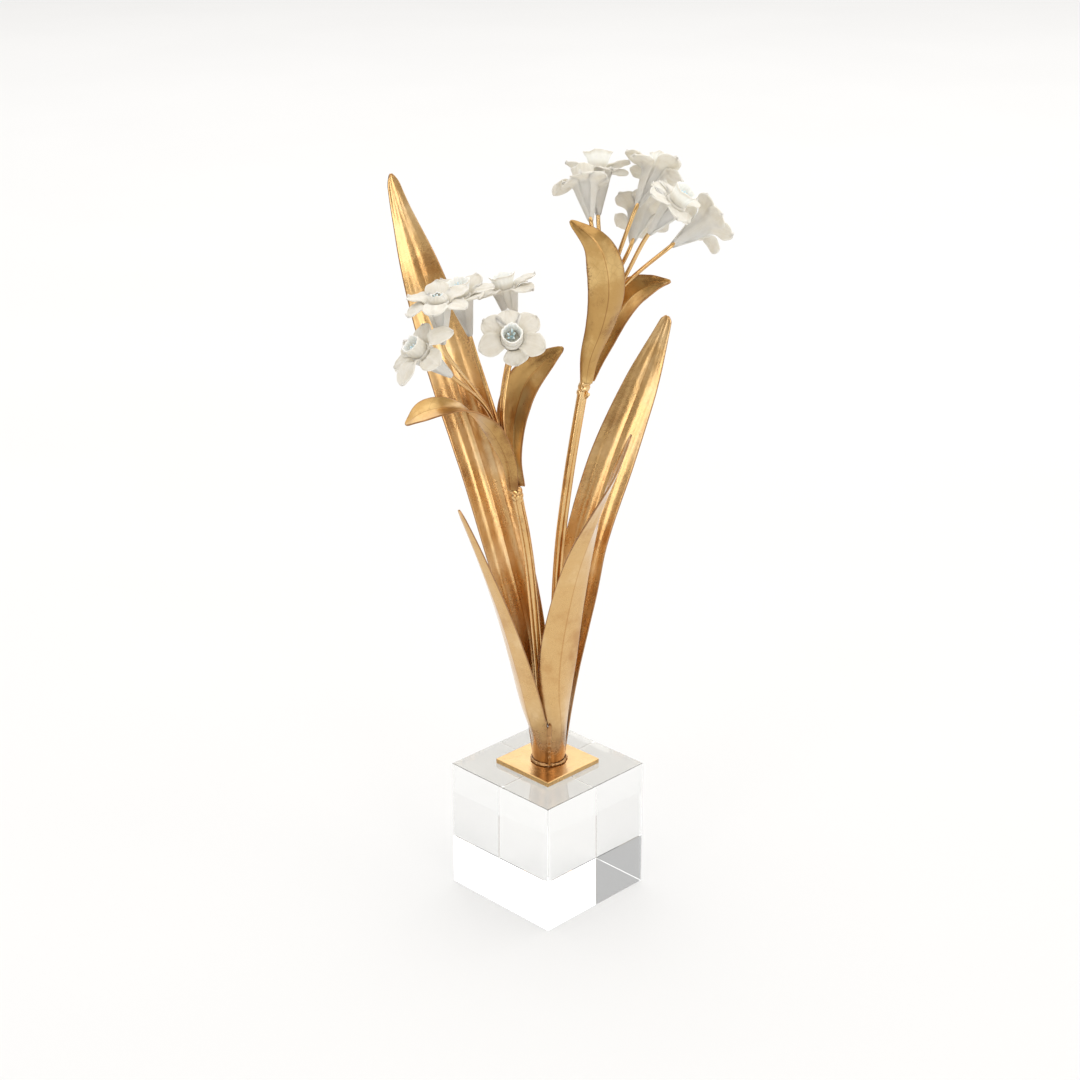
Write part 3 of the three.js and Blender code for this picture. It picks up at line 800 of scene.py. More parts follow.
@dataclass(frozen=True)
class Station:
    """One place along a blade: its middle, where its inner face looks, its width and curl."""

    at: Point
    face: Point
    width: float
    curl: float


def sheath_foot(side: int, depth: int) -> Station:
    """Returns a leaf's first station, a quarter of the sheath round the stems.

    Args:
        side: -1 for the left of the plant and 1 for its right.
        depth: -1 for its front and 1 for its back.

    Returns:
        The station on the plate.
    """
    reach = SHEATH_RADIUS * math.sqrt(0.5)
    return Station((FOOT_X + side * reach, depth * reach, PLATE_TOP + SEAT_GAP), (-side, -depth, 0),
                   SHEATH_RADIUS * math.pi / 2 - SHEATH_SEAM, math.pi / 2 - SHEATH_SEAM / SHEATH_RADIUS)


@dataclass
class Blade:
    """A leaf or spathe of gilded sheet metal."""

    node: str
    stations: list[Station]
    thickness: float
    pleat: float = 0.0
    pleat_waves: float = 4.0
    pleat_reach: float = 0.75
    pleated_width: float = 27.0
    keel: float = 0.0
    blunt: float = 0.05
    cells_across: int = 32
    cells_along: int = 96
    unevenness: float = 0.22
    fine_dents: float = 0.35
    edge_waver: float = 0.012
    ease: float = 1.15
    pleat_rise: Span = (0.02, 0.3)
    pleat_fall: Span = (0.6, 0.92)
    keel_width: float = 20
    keel_rise: Span = (0.04, 0.2)
    dent_rise: Span = (0.04, 0.25)
    least_curl: float = 0.01
    least_tip: float = 0.004

    def __post_init__(self) -> None:
        """Prepares the curves through the stations."""
        self.path = Curve([s.at for s in self.stations])
        self.facing = Curve([s.face for s in self.stations])
        self.sizes = Curve([(s.width, s.curl, 0) for s in self.stations])
        self.offset = sum(ord(letter) for letter in self.node) * 0.37

    def surface(self, u: float, t: float) -> Vector:
        """Gives the blade's middle face.

        Args:
            u: from -1 to 1 across.
            t: from 0 to 1 along.

        Returns:
            The point in the plant's frame.
        """
        t = 1 - (1 - t) ** self.ease
        along = self.path.heading(t)
        inward = self.facing.point(t)
        inward = (inward - along * inward.dot(along)).normalized()
        across = along.cross(inward)
        width, curl, _ = self.sizes.point(t)
        to_tip = max(0.0, (t - 1 + self.blunt) / self.blunt)
        width *= math.sqrt(max(1 - to_tip ** 2, self.least_tip))
        curl = max(curl, self.least_curl)
        fade = smooth(*self.pleat_rise, t) * (1 - smooth(*self.pleat_fall, t))
        turn = u * (width / self.pleated_width) * math.pi * self.pleat_waves / 2
        ridges = self.pleat * (1 - 2 * abs(math.sin(turn))) * math.exp(-((u / self.pleat_reach) ** 4))
        fold = self.keel * (1 - abs(u)) * (width / self.keel_width) * smooth(*self.keel_rise, t)
        free = smooth(*self.dent_rise, t) * self.unevenness
        dents = free * wander(u * 1.6, t * 5.5, self.offset)
        dents += free * self.fine_dents * wander(u * 5, t * 9, self.offset + 9)
        edge = 1 + self.edge_waver * wander(t * 22, self.offset, 3 if u > 0 else 7)
        return (self.path.point(t)
                + across * (width / curl) * math.sin(curl * u * edge / 2)
                + inward * ((width / curl) * (1 - math.cos(curl * u / 2)) + fade * ridges - fold + dents))

    def build(self) -> Piece:
        """Returns the blade as a piece, ready for its finish."""
        piece = Piece(self.node, Slot.PALE_GILDING)
        piece.add(new_sheet(self.surface, self.cells_across, self.cells_along, self.thickness))
        return piece


def leaves() -> list[Blade]:
    """Returns the four leaves."""
    return [
        Blade("leaf_tall_left", [
            sheath_foot(-1, 1),
            Station((-7.5, 7.8, 112), (0.6, -0.8, 0.1), 16, 1.1),
            Station((-11, 9.5, 150), (0.45, -0.88, 0.1), 21.5, 0.8),
            Station((-22, 12, 200), (0.35, -0.93, 0.1), 25.8, 0.6),
            Station((-35, 15.5, 250), (0.3, -0.95, 0.1), 27, 0.5),
            Station((-50, 19.5, 300), (0.25, -0.95, 0.1), 27.5, 0.45),
            Station((-64.4, 24, 348), (0.2, -0.95, 0.1), 22.5, 0.4),
            Station((-76, 28, 385), (0.2, -0.95, 0.1), 10.7, 0.3),
            Station((-80.7, 30, 403.5), (0.2, -0.95, 0.1), 5, 0.2),
        ], LEAF_THICKNESS, pleat=0.2),
        Blade("leaf_tall_right", [
            sheath_foot(1, 1),
            Station((8.8, 9.4, 110), (-0.6, -0.8, 0.1), 16.5, 1.15),
            Station((10.6, 12.4, 140), (-0.5, -0.85, 0.1), 23.5, 0.8),
            Station((15.8, 14.5, 174), (-0.4, -0.9, 0.1), 26, 0.6),
            Station((22.7, 16.5, 209), (-0.35, -0.93, 0.1), 25, 0.5),
            Station((35, 19, 250), (-0.3, -0.95, 0.1), 25.5, 0.45),
            Station((49.7, 23, 290), (-0.25, -0.95, 0.1), 19.2, 0.4),
            Station((60.6, 27, 318.5), (-0.2, -0.95, 0.1), 9, 0.3),
            Station((63.8, 28.5, 327.5), (-0.2, -0.95, 0.1), 5.5, 0.2),
        ], LEAF_THICKNESS, pleat=0.2),
        Blade("leaf_front_left", [
            sheath_foot(-1, -1),
            Station((-6.1, -7.6, 97), (0.7, 0.7, 0.1), 15.2, 1.3),
            Station((-9.9, -10, 115), (0.7, 0.7, 0.3), 18.5, 0.9),
            Station((-15, -14, 140), (0.75, 0.65, 0.3), 18.5, 0.6),
            Station((-22.5, -19, 170), (0.8, 0.6, 0.3), 16, 0.5),
            Station((-31, -24, 198), (0.8, 0.55, 0.3), 12, 0.45),
            Station((-39, -29, 222), (0.8, 0.55, 0.3), 7.5, 0.4),
            Station((-46, -32, 241), (0.8, 0.55, 0.3), 3.5, 0.2),
        ], LEAF_THICKNESS, keel=2.0),
        Blade("leaf_front_right", [
            sheath_foot(1, -1),
            Station((6.8, -8.2, 102), (-0.6, 0.8, 0.05), 12.8, 1.25),
            Station((5.2, -10, 125), (-0.4, 0.9, 0.1), 20.8, 1.0),
            Station((6.7, -12, 150), (-0.3, 0.95, 0.1), 22.2, 0.8),
            Station((11.2, -15, 180), (-0.35, 0.93, 0.1), 19.8, 0.65),
            Station((17.3, -19, 208), (-0.55, 0.8, 0.1), 17, 0.55),
            Station((26.5, -25, 238), (-0.85, 0.35, 0.2), 15, 0.45),
            Station((35.5, -30, 262), (-0.93, -0.05, 0.25), 10, 0.4),
            Station((42.7, -34, 283), (-0.93, -0.1, 0.25), 3, 0.3),
        ], LEAF_THICKNESS, keel=2.0),
    ]


def spathes() -> list[Blade]:
    """Returns the four spathes, two under each head of flowers."""
    cells = {"cells_across": 20, "cells_along": 64, "blunt": 0.03}
    return [
        Blade("spathe_left_front", [
            Station((-18.2, -12.8, 244), (0.1, 1, 0), 5.8, 1.5),
            Station((-20, -14.8, 259), (0.2, 0.95, 0.2), 8, 1.1),
            Station((-26.5, -16.5, 275), (0.2, 0.8, 0.5), 12, 0.8),
            Station((-33.8, -18.5, 285), (0.1, 0.45, 0.9), 14.5, 0.6),
            Station((-43, -20.5, 292), (0, 0.1, 1), 15, 0.5),
            Station((-54, -22, 293.4), (-0.15, -0.3, 0.92), 16.5, 0.5),
            Station((-65, -22.5, 290.5), (-0.3, -0.4, 0.85), 15.5, 0.5),
            Station((-73.3, -23, 284.5), (-0.5, -0.3, 0.8), 3, 0.3),
        ], SPATHE_THICKNESS, keel=0.4, **cells),
        Blade("spathe_left_back", [
            Station((-15.6, -3.2, 243), (-0.2, -1, 0), 9, 1.4),
            Station((-18, -2.5, 258), (-0.35, -0.93, 0), 11, 1.1),
            Station((-18.7, -1, 274), (-0.5, -0.86, 0), 17.5, 0.8),
            Station((-16.5, 0, 288), (-0.5, -0.86, 0), 19.5, 0.7),
            Station((-11.2, 1, 301), (-0.5, -0.86, 0), 18.5, 0.6),
            Station((0, 2, 312), (-0.5, -0.86, 0.2), 11, 0.5),
            Station((8.2, 3, 318), (-0.5, -0.86, 0.3), 2.5, 0.3),
        ], SPATHE_THICKNESS, keel=3.2, **cells),
        Blade("spathe_right_front", [
            Station((20.2, 0.2, 299), (0.1, 1, 0), 6.8, 1.5),
            Station((22.2, -1.4, 314), (-0.1, 1, 0.1), 10.5, 1.3),
            Station((27.5, -3.4, 331), (-0.2, 0.98, 0.1), 16, 1.1),
            Station((30.5, -5.6, 348), (-0.2, 0.98, 0.1), 20, 0.9),
            Station((29.3, -7.6, 364), (-0.2, 0.95, 0), 19.5, 0.8),
            Station((24, -10.2, 377), (-0.25, 0.95, -0.1), 13.5, 0.6),
            Station((11.3, -10, 388), (-0.3, 0.9, -0.2), 2.5, 0.3),
        ], SPATHE_THICKNESS, keel=3.0, **cells),
        Blade("spathe_right_back", [
            Station((21.1, 8.4, 299), (-0.2, -1, 0.1), 8.5, 1.4),
            Station((26, 11, 312), (-0.35, -0.9, 0.2), 12.5, 1.1),
            Station((34, 13, 330), (-0.5, -0.7, 0.4), 20, 0.9),
            Station((43.5, 15, 343), (-0.5, -0.7, 0.4), 19, 0.8),
            Station((54, 16.5, 348), (-0.5, -0.7, 0.4), 11, 0.6),
            Station((64.3, 17.5, 349.5), (-0.1, -0.4, 0.9), 2.5, 0.3),
        ], SPATHE_THICKNESS, keel=3.0, **cells),
    ]


@dataclass(frozen=True)
class Cup:
    """The open cup in a flower's middle: its height above the tube, rim radius and raggedness."""

    height: float = 8.5
    rim: float = 6.3
    ragged: float = 1.0


@dataclass(frozen=True)
class FlowerSpec:
    """Where a flower stands and how its tepals and stalk run.

    A tepal is its place round the flower and its opening from the axis, both in degrees,
    and its length against the others.
    """

    root: Point
    axis: Point
    tepals: tuple[tuple[float, ...], ...]
    stalk: tuple[Point, ...]
    cup: Cup = Cup()

    def frame(self) -> Matrix:
        """Returns the flower's place in the plant: z along its axis, x to the plant's right."""
        axis = Vector(self.axis).normalized()
        right = (Vector((1, 0, 0)) - axis * axis.x).normalized()
        turned = Matrix((right, axis.cross(right), axis)).transposed().to_4x4()
        return Matrix.Translation(self.root) @ turned


@dataclass(frozen=True)
class HeadSpec:
    """One head of flowers: its joint, the stem to it, a cut rod in the joint and its flowers."""

    side: str
    joint: Point
    stem: tuple[Point, ...]
    stub: tuple[Point, ...]
    flowers: tuple[FlowerSpec, ...]


TUBE_LENGTH = 17.0
TUBE_FOOT_RADIUS = 2.5
TUBE_MOUTH_RADIUS = 6.4
TUBE_FLARE = math.atan2(TUBE_MOUTH_RADIUS - TUBE_FOOT_RADIUS, TUBE_LENGTH)

LEFT_HEAD = HeadSpec(
    "left", (-16.6, -8, 243),
    ((-2.4, -1, PLATE_TOP + SEAT_GAP), (-3, -1.6, 110), (-5.4, -3, 148), (-9.9, -5, 201.5),
     (-15.2, -7.6, 236)),
    ((-16.4, -8, 234), (-13.2, -9.4, 238.5)),
    (
        FlowerSpec((-18.4, 19, 328.5), (-0.22, 0.06, 0.97),
                   ((12, 74), (60, 96), (110, 88), (170, 82), (222, 94), (325, 98)),
                   ((-24, -7, 284), (-21.5, 4, 306)), Cup(7.5, 6.8)),
        FlowerSpec((-17.9, -11, 322), (0, -0.83, 0.56),
                   ((339, 86), (45, 106), (100, 108, 0.86), (147, 96), (201, 92), (282, 112, 0.7)),
                   ((-23, -12, 283), (-20.5, -6.5, 306)), Cup(8.5, 5.5)),
        FlowerSpec((-41.3, 5, 329.4), (-0.2, -0.1, 0.97),
                   ((0, 88), (56, 60), (128, 62), (190, 90), (250, 92), (306, 74)),
                   ((-27, -8, 284),), Cup(8, 6.6)),
        FlowerSpec((-53.5, -22, 333), (-0.1, -0.05, 1),
                   ((30, 75), (92, 52), (150, 88), (200, 112), (265, 100), (325, 95)),
                   ((-30, -9.5, 286),), Cup(4, 3.4)),
        FlowerSpec((-52.5, -34, 317.5), (-0.66, -0.34, 0.67),
                   ((8, 112, 1.2), (84, 84), (130, 62, 0.75), (180, 86), (242, 92, 1.25), (305, 112)),
                   ((-30, -12, 287),), Cup(7.5, 5.3)),
    ),
)

RIGHT_HEAD = HeadSpec(
    "right", (19.8, 5, 299),
    ((3.8, 1.2, PLATE_TOP + SEAT_GAP), (3.8, 1.8, 140), (6, 3, 198.2), (11, 4, 244), (17.6, 5, 287)),
    ((19.8, 4, 290), (21.6, 1.2, 293.2)),
    (
        FlowerSpec((21.1, -2.6, 391.5), (-0.14, 0.6, 0.79),
                   ((262, 92, 0.62), (322, 70, 0.6), (20, 84, 0.6), (80, 88, 0.8), (150, 105, 1.05),
                    (203, 90, 0.6)),
                   ((27, 3.5, 350), (23.8, 1.5, 370)), Cup(7, 5.8)),
        FlowerSpec((26.3, 21, 389.5), (0, 0.4, 0.92),
                   ((337, 74), (30, 88), (110, 88), (190, 66), (245, 92, 0.7), (292, 100)),
                   ((28.3, 6, 343),), Cup(10, 7.6)),
        FlowerSpec((47.9, 8, 395.6), (0.42, 0.6, 0.68),
                   ((190, 80), (232, 108), (305, 72), (344, 102), (60, 90), (130, 86)),
                   ((29, 7.5, 341),)),
        FlowerSpec((44.6, 15, 374.5), (0.2, 0.85, 0.48),
                   ((226, 86, 0.85), (280, 92), (335, 95), (30, 90), (82, 90), (135, 80, 0.85)),
                   ((29.5, 9.5, 340),)),
        FlowerSpec((54.7, -12, 386), (0.58, -0.25, 0.775),
                   ((47, 90), (110, 100), (160, 95, 0.8), (205, 90), (270, 95, 0.75), (330, 100, 0.55)),
                   ((30, 5.5, 339), (39, 3, 354)), Cup(8.5, 6.3)),
        FlowerSpec((67.9, 4, 374.6), (0.75, 0.54, 0.37),
                   ((259, 76), (305, 81), (350, 74), (60, 88), (120, 95), (190, 90)),
                   ((31, 7, 339),)),
    ),
)


@dataclass
class Tepal:
    """One petal: a claw that runs up the tube and a broad limb that opens outwards."""

    angle: float
    opening: float
    outer: bool
    length: float
    wave: float
    phase: float
    start: float = 11.0
    claw: float = 0.62
    claw_reach: float = 17.5
    sunk: float = 0.5
    layer_offset: float = 1.15
    thickness: float = 0.8
    cells_across: int = 12
    cells_along: int = 26
    widths: tuple[float, ...] = (6, 6.6, 9, 12.4, 13.2, 10.6, 4.5)
    tip: float = 0.12
    ease: float = 1.3
    line_steps: int = 96
    opening_part: Span = (0.18, 0.55)
    recurve: float = 0.18
    claw_foot_width: float = 3.4
    least_tip: float = 0.003
    limb_curl: float = 0.35
    ragged_edge: float = 0.09
    buckle: float = 0.9
    edge_buckle: float = 0.7
    rib: float = 0.13
    midrib: float = 0.25

    def __post_init__(self) -> None:
        """Works out the middle line, as radius, height and slope from the axis."""
        self.width_curve = Curve([(width, 0, 0) for width in self.widths])
        radius = TUBE_FOOT_RADIUS + self.start * math.tan(TUBE_FLARE)
        height = self.start
        self.line: list[Vector] = []
        for i in range(self.line_steps + 1):
            s = i / self.line_steps
            slope = mix(TUBE_FLARE, self.opening, smooth(*self.opening_part, s))
            slope += self.recurve * smooth(0.6, 1, s)
            self.line.append(Vector((radius, height, slope)))
            radius += self.length / self.line_steps * math.sin(slope)
            height += self.length / self.line_steps * math.cos(slope)

    def surface(self, u: float, t: float) -> Vector:
        """Gives the tepal's middle face in the flower's frame.

        Args:
            u: from -1 to 1 across.
            t: from 0 at the claw's foot to 1 at the tip.

        Returns:
            The point.
        """
        s = mix(-self.claw, 1, 1 - (1 - t) ** self.ease)
        if s < 0:
            back = s / self.claw * self.claw_reach
            radius = self.line[0].x + back * math.sin(TUBE_FLARE)
            height = self.line[0].y + back * math.cos(TUBE_FLARE)
            slope = TUBE_FLARE
            radius -= self.sunk * smooth(0, 1, -s / self.claw)
            width = mix(self.widths[0], self.claw_foot_width, -s / self.claw)
        else:
            place = s * (len(self.line) - 1)
            i = min(int(place), len(self.line) - 2)
            radius, height, slope = self.line[i].lerp(self.line[i + 1], place - i)
            width = self.width_curve.point(s).x
            to_tip = max(0.0, (s - 1 + self.tip) / self.tip)
            width *= math.sqrt(max(1 - to_tip ** 2, self.least_tip))
        free = smooth(0.3, 0.75, s)
        drop = (self.layer_offset if self.outer else 0.0) * (0.4 + 0.6 * smooth(0.1, 0.45, s))
        radius += drop * math.cos(slope)
        height -= drop * math.sin(slope)
        curl = mix(width / radius, self.limb_curl, smooth(0.3, 0.6, s))
        ragged = 1 + free * self.ragged_edge * wander(s * 8, self.phase * 3, 2 if u > 0 else 5)
        side = (width / curl) * math.sin(curl * u * ragged / 2)
        ripple = self.wave * u * math.sin(5 * s + self.phase) * smooth(0.35, 0.7, s)
        ripple += free * self.buckle * wander(u * 1.3, s * 3.2, self.phase * 2)
        ripple += free * u * u * self.edge_buckle * wander(u * 2.5, s * 8, self.phase + 4)
        ribs = self.rib * math.cos(u * 13) + self.midrib * math.exp(-(u * 5) ** 2)
        rise = (width / curl) * (1 - math.cos(curl * u / 2)) + ripple + ribs * smooth(0.1, 0.4, s)
        outward = radius - rise * math.cos(slope)
        return Vector((
            outward * math.cos(self.angle) - side * math.sin(self.angle),
            outward * math.sin(self.angle) + side * math.cos(self.angle),
            height + rise * math.sin(slope),
        ))

    def shell(self) -> Shell:
        """Returns the tepal as a closed shell."""
        return new_sheet(self.surface, self.cells_across, self.cells_along, self.thickness)


@dataclass
class Flower:
    """A porcelain flower: tube, tepals in two layers, and cup."""

    node: str
    spec: FlowerSpec
    draws: Draws
    limb_length: float = 17.5
    cup_foot_radius: float = 4.6
    cup_wall: float = 1.0
    cup_steps: int = 60
    flutes: int = 15
    cup_lip: tuple[Span, ...] = ((0.15, 0.3), (0.55, 0.42))
    cup_sink: float = 0.6
    cup_belly: float = 0.7
    cup_lobes: int = 4
    lobe_reach: float = 0.04
    lobe_rise: float = 0.3
    flute_depth: float = 0.03
    torn_reach: float = 0.03
    torn_rise: float = 0.5
    tube_steps: int = 28
    socket_radius: float = 1.7
    socket_depth: float = 3.0
    tepal_wave: float = 0.7

    def tube(self) -> Shell:
        """Returns the flared tube with the stalk's socket in its foot."""
        foot, mouth, length = TUBE_FOOT_RADIUS, TUBE_MOUTH_RADIUS, TUBE_LENGTH
        socket = self.socket_radius
        profile = [(0, self.socket_depth), (socket, self.socket_depth), (socket, 0.3),
                   (socket + 0.3, 0), (foot - 0.35, 0), (foot, 0.35)]
        profile += [(mix(foot, mouth, z / length), z) for z in (2, 4.5, 7, 10, 13)]
        profile += [(mouth - 0.3, length - 0.9), (mouth - 0.9, length)]
        profile += [(self.cup_foot_radius, length), (0, length)]
        return new_turned(profile, self.tube_steps)

    def cup(self) -> Shell:
        """Returns the cup, fluted, with a waved and slightly torn rim and its inner wall marked for painted
        light.
        """
        floor, height, rim = TUBE_LENGTH - self.cup_sink, self.spec.cup.height, self.spec.cup.rim
        phase = self.draws.draw() * 6
        foot, belly = self.cup_foot_radius, self.cup_foot_radius + self.cup_belly
        outside = [(0, foot), (0.3, foot + 0.5), (0.6, belly), (0.82, mix(belly, rim, 0.45)), (1, rim)]
        profile = [(radius, floor + share * height) for share, radius in outside]
        top = floor + height
        profile += [(rim - self.cup_wall * inset, top + lift) for inset, lift in self.cup_lip]
        profile += [(radius - self.cup_wall, floor + share * height) for share, radius in reversed(outside)]
        shell = new_turned([*profile, profile[0]], self.cup_steps)
        painted_inner_light = shell.verts.layers.float.new(PAINTED_INNER_LIGHT)
        for vertex in shell.verts:
            angle = math.atan2(vertex.co.y, vertex.co.x)
            share = (vertex.co.z - floor) / height
            lift = smooth(0.5, 1, share)
            wave = lift * math.sin(self.cup_lobes * angle + phase)
            fluted = self.flute_depth * smooth(0.05, 0.5, share) * math.cos(self.flutes * angle + phase)
            torn = self.spec.cup.ragged * lift * wander(math.cos(angle) * 4, math.sin(angle) * 4, phase)
            wall = math.hypot(vertex.co.x, vertex.co.y) - mix(foot, rim, smooth(0, 1, share))
            # Painted light: the inner wall is marked for a lighter colour that lifts the cup's shade.
            vertex[painted_inner_light] = smooth(-0.1, -0.5, wall)
            swell = 1 + self.lobe_reach * wave + fluted + self.torn_reach * torn
            vertex.co.x *= swell
            vertex.co.y *= swell
            vertex.co.z += self.lobe_rise * wave + self.torn_rise * torn
        return shell

    def build(self) -> Piece:
        """Returns the flower as a piece, ready for its finish."""
        place = self.spec.frame()
        piece = Piece(self.node, Slot.PORCELAIN)
        piece.add(self.tube(), place)
        piece.add(self.cup(), place)
        for k, (angle, opening, *rest) in enumerate(self.spec.tepals):
            wave = self.tepal_wave * (self.draws.draw() - 0.5)
            phase = 6 * self.draws.draw()
            length = self.limb_length * (rest[0] if rest else 1)
            tepal = Tepal(math.radians(angle), math.radians(opening), k % 2 == 1, length, wave, phase)
            piece.add(tepal.shell(), place)
        return piece


@dataclass
class Stamens:
    """The boss on the cup's floor and the stamens that lean out of it."""

    node: str
    spec: FlowerSpec
    draws: Draws
    count: int = 5
    boss_radius: float = 1.15
    boss_steps: int = 20
    reach: float = 0.8
    circle: float = 0.9
    leans: Span = (1.4, 2.9)
    bow: float = 0.25
    radii: tuple[float, ...] = (0.3, 0.3, 0.34, 0.62, 0.68, 0.3)

    def build(self) -> Piece:
        """Returns the stamens as a piece, ready for their finish."""
        place = self.spec.frame()
        piece = Piece(self.node, Slot.BLUE)
        floor = TUBE_LENGTH + SEAT_GAP
        rise = self.reach * self.spec.cup.height
        boss = [(0, floor), (self.boss_radius, floor), (self.boss_radius + 0.15, floor + 0.4),
                (self.boss_radius * 0.8, floor + 0.95), (0, floor + 1.15)]
        piece.add(new_turned(boss, self.boss_steps), place)
        radii = Curve([(radius, 0, 0) for radius in self.radii])
        for k in range(self.count):
            angle = 2 * math.pi * k / self.count + 0.6 * self.draws.draw()
            height = rise * (0.8 + 0.2 * self.draws.draw())
            lean = mix(*self.leans, self.draws.draw())
            out = Vector((math.cos(angle), math.sin(angle), 0))
            foot = out * self.circle + Vector((0, 0, floor + 0.6))
            top = out * lean + Vector((0, 0, floor + height))
            bend = (foot + top) / 2 - out * self.bow
            rod = new_rod(Curve([foot, bend, top]), lambda share: radii.point(share).x, 6, 12)
            piece.add(rod, place)
        return piece


@dataclass
class Stem:
    """A stem with its flower stalks, the weld that joins them and a cut rod end in it."""

    head: HeadSpec
    stem_radius: float = 2.8
    stalk_radius: float = 1.15
    stalk_insertion: float = 2.4
    stalk_straight: float = 8.0
    stem_waver: float = 0.025
    stalk_waver: float = 0.02
    lumps: tuple[Span, ...] = ((6.5, 3.0), (3.4, 3.35), (0.6, 3.2))
    lump_shift: Point = (0.4, -0.3, 0)
    lump_unevenness: float = 0.16

    def build(self) -> Piece:
        """Returns the stem as a piece, ready for its finish."""
        piece = Piece(f"stem_{self.head.side}", Slot.GILDED)
        joint = Vector(self.head.joint)
        offset = joint.x

        def stem_radius(share: float) -> float:
            """Returns the stem's slightly uneven radius."""
            return self.stem_radius * (1 + self.stem_waver * wander(share * 14, offset, 0))

        piece.add(new_rod(Curve([*self.head.stem, joint]), stem_radius, 20, 90))
        for k, flower in enumerate(self.head.flowers):
            way = Vector(flower.axis).normalized()
            end = Vector(flower.root)
            route = [joint, *flower.stalk, end - way * self.stalk_straight, end + way * self.stalk_insertion]

            def stalk_radius(share: float, place: float = k * 3.1 + offset) -> float:
                """Returns a stalk's slightly uneven radius."""
                return self.stalk_radius * (1 + self.stalk_waver * wander(share * 9, place, 0))

            piece.add(new_rod(Curve(route, taut=True), stalk_radius, 12, 56))
        piece.add(new_rod(Curve(self.head.stub), lambda share: self.stalk_radius, 12, 4))
        lower = (joint - Vector(self.head.stem[-1])).normalized()
        for k, (down, size) in enumerate(self.lumps):
            centre = joint - lower * down + Vector(self.lump_shift) * (k - 1)
            place = offset + k * 2.3
            piece.add(new_lump(centre, (size, size, size * 0.95), self.lump_unevenness, place))
        return piece


@dataclass
class FootWeld:
    """The uneven bead round the sheath on the plate and the run of weld up its front joint."""

    bead_width: float = 1.1
    bead_height: float = 1.4
    bead_spread: float = 0.09
    bead_rise: float = 0.85
    bead_steps: int = 120
    bead_shoulder: float = 0.45
    bead_crown: float = 0.2
    seam_radius: float = 0.8
    seam_top: Point = (0.9, -12.6, 101.6)
    seam_top_size: Point = (1.5, 1.2, 4.2)
    seam_waver: float = 0.3
    seam_swell: float = 0.3
    unevenness: float = 0.25
    drop_height: float = 1.6
    drops: tuple[Span, ...] = ((0.3, 0.95), (0.52, 0.9), (0.74, 1.15), (0.88, 1.2), (0.98, 1.25))
    seam: tuple[Point, ...] = ((0.8, -10.4, 80.2), (1, -11.2, 86), (0.8, -12.1, 92), (1, -13, 98.5))

    def build(self) -> Piece:
        """Returns the weld as a piece, ready for its finish."""
        piece = Piece("foot_weld", Slot.GILDED)
        inner = SHEATH_RADIUS + LEAF_THICKNESS / 2 + SEAT_GAP
        bottom = PLATE_TOP + SEAT_GAP
        width, height = self.bead_width, self.bead_height
        profile = [
            (inner, bottom),
            (inner + width, bottom),
            (inner + width * 1.02, bottom + height * 0.25),
            (inner + width * 0.8, bottom + height * 0.6),
            (inner + self.bead_shoulder, bottom + height * 0.9),
            (inner + self.bead_crown, bottom + height),
            (inner, bottom + height * 0.8),
            (inner, bottom),
        ]
        ring = new_turned(profile, self.bead_steps)
        for vertex in ring.verts:
            reach = math.hypot(vertex.co.x, vertex.co.y)
            around = Vector((vertex.co.x, vertex.co.y, 0)) / reach
            out = smooth(inner + 0.1, inner + width, reach)
            up = smooth(bottom + 0.2, bottom + height, vertex.co.z)
            ripples = noise.noise(around * 7) + 0.5 * noise.noise(around * 19)
            vertex.co.x *= 1 + self.bead_spread * out * ripples
            vertex.co.y *= 1 + self.bead_spread * out * ripples
            vertex.co.z += self.bead_rise * up * ripples
        piece.add(ring, Matrix.Translation((FOOT_X, 0, 0)))

        def seam_radius(share: float) -> float:
            """Returns the seam's radius, thick where a drop has run."""
            swell = self.seam_swell * smooth(0.7, 0.95, share)
            return self.seam_radius * (0.85 + self.seam_waver * wander(share * 8, 1, 0) + swell)

        piece.add(new_rod(Curve(self.seam), seam_radius, 12, 40))
        for share, size in self.drops:
            place = Curve(self.seam).point(share)
            sizes = (size, size, size * self.drop_height)
            piece.add(new_lump(place, sizes, self.unevenness, share * 40))
        piece.add(new_lump(self.seam_top, self.seam_top_size, self.unevenness, 5.0))
        return piece


@dataclass
class Base:
    """The clear block and the gilded plate on it."""

    edge: float = 0.35
    edge_segments: int = 2
    plate_edge: float = 0.55
    plate_segments: int = 3

    def build_block(self) -> Piece:
        """Returns the block as a piece, ready for its finish."""
        piece = Piece("clear_block", Slot.CLEAR, TO_WORLD.copy(), 0)
        piece.add(new_bevelled_box((BLOCK_SIDE,) * 3, (0, 0, BLOCK_SIDE / 2), self.edge, self.edge_segments))
        return piece

    def build_plate(self) -> Piece:
        """Returns the plate as a piece, ready for its finish."""
        piece = Piece("mounting_plate", Slot.GILDED, TO_WORLD.copy(), 0)
        size = (PLATE_SIDE, PLATE_SIDE, PLATE_THICKNESS)
        centre = (0, 0, BLOCK_SIDE + PLATE_THICKNESS / 2)
        piece.add(new_bevelled_box(size, centre, self.plate_edge, self.plate_segments))
        return piece


@dataclass(frozen=True)
class Softbox:
    """A soft light: its place and aim in the plant's frame, its sides in metres, its face's radiance."""

    name: str
    place: Point
    aim: Point
    size: Span
    radiance: float

    def build(self) -> None:
        """Adds the light to the scene."""
        data = bpy.data.lights.new(self.name, "AREA")
        data.shape = "RECTANGLE"
        data.size, data.size_y = self.size
        data.energy = self.radiance * math.pi * data.size * data.size_y
        new_object(self.name, data).matrix_world = aimed(self.place, self.aim)


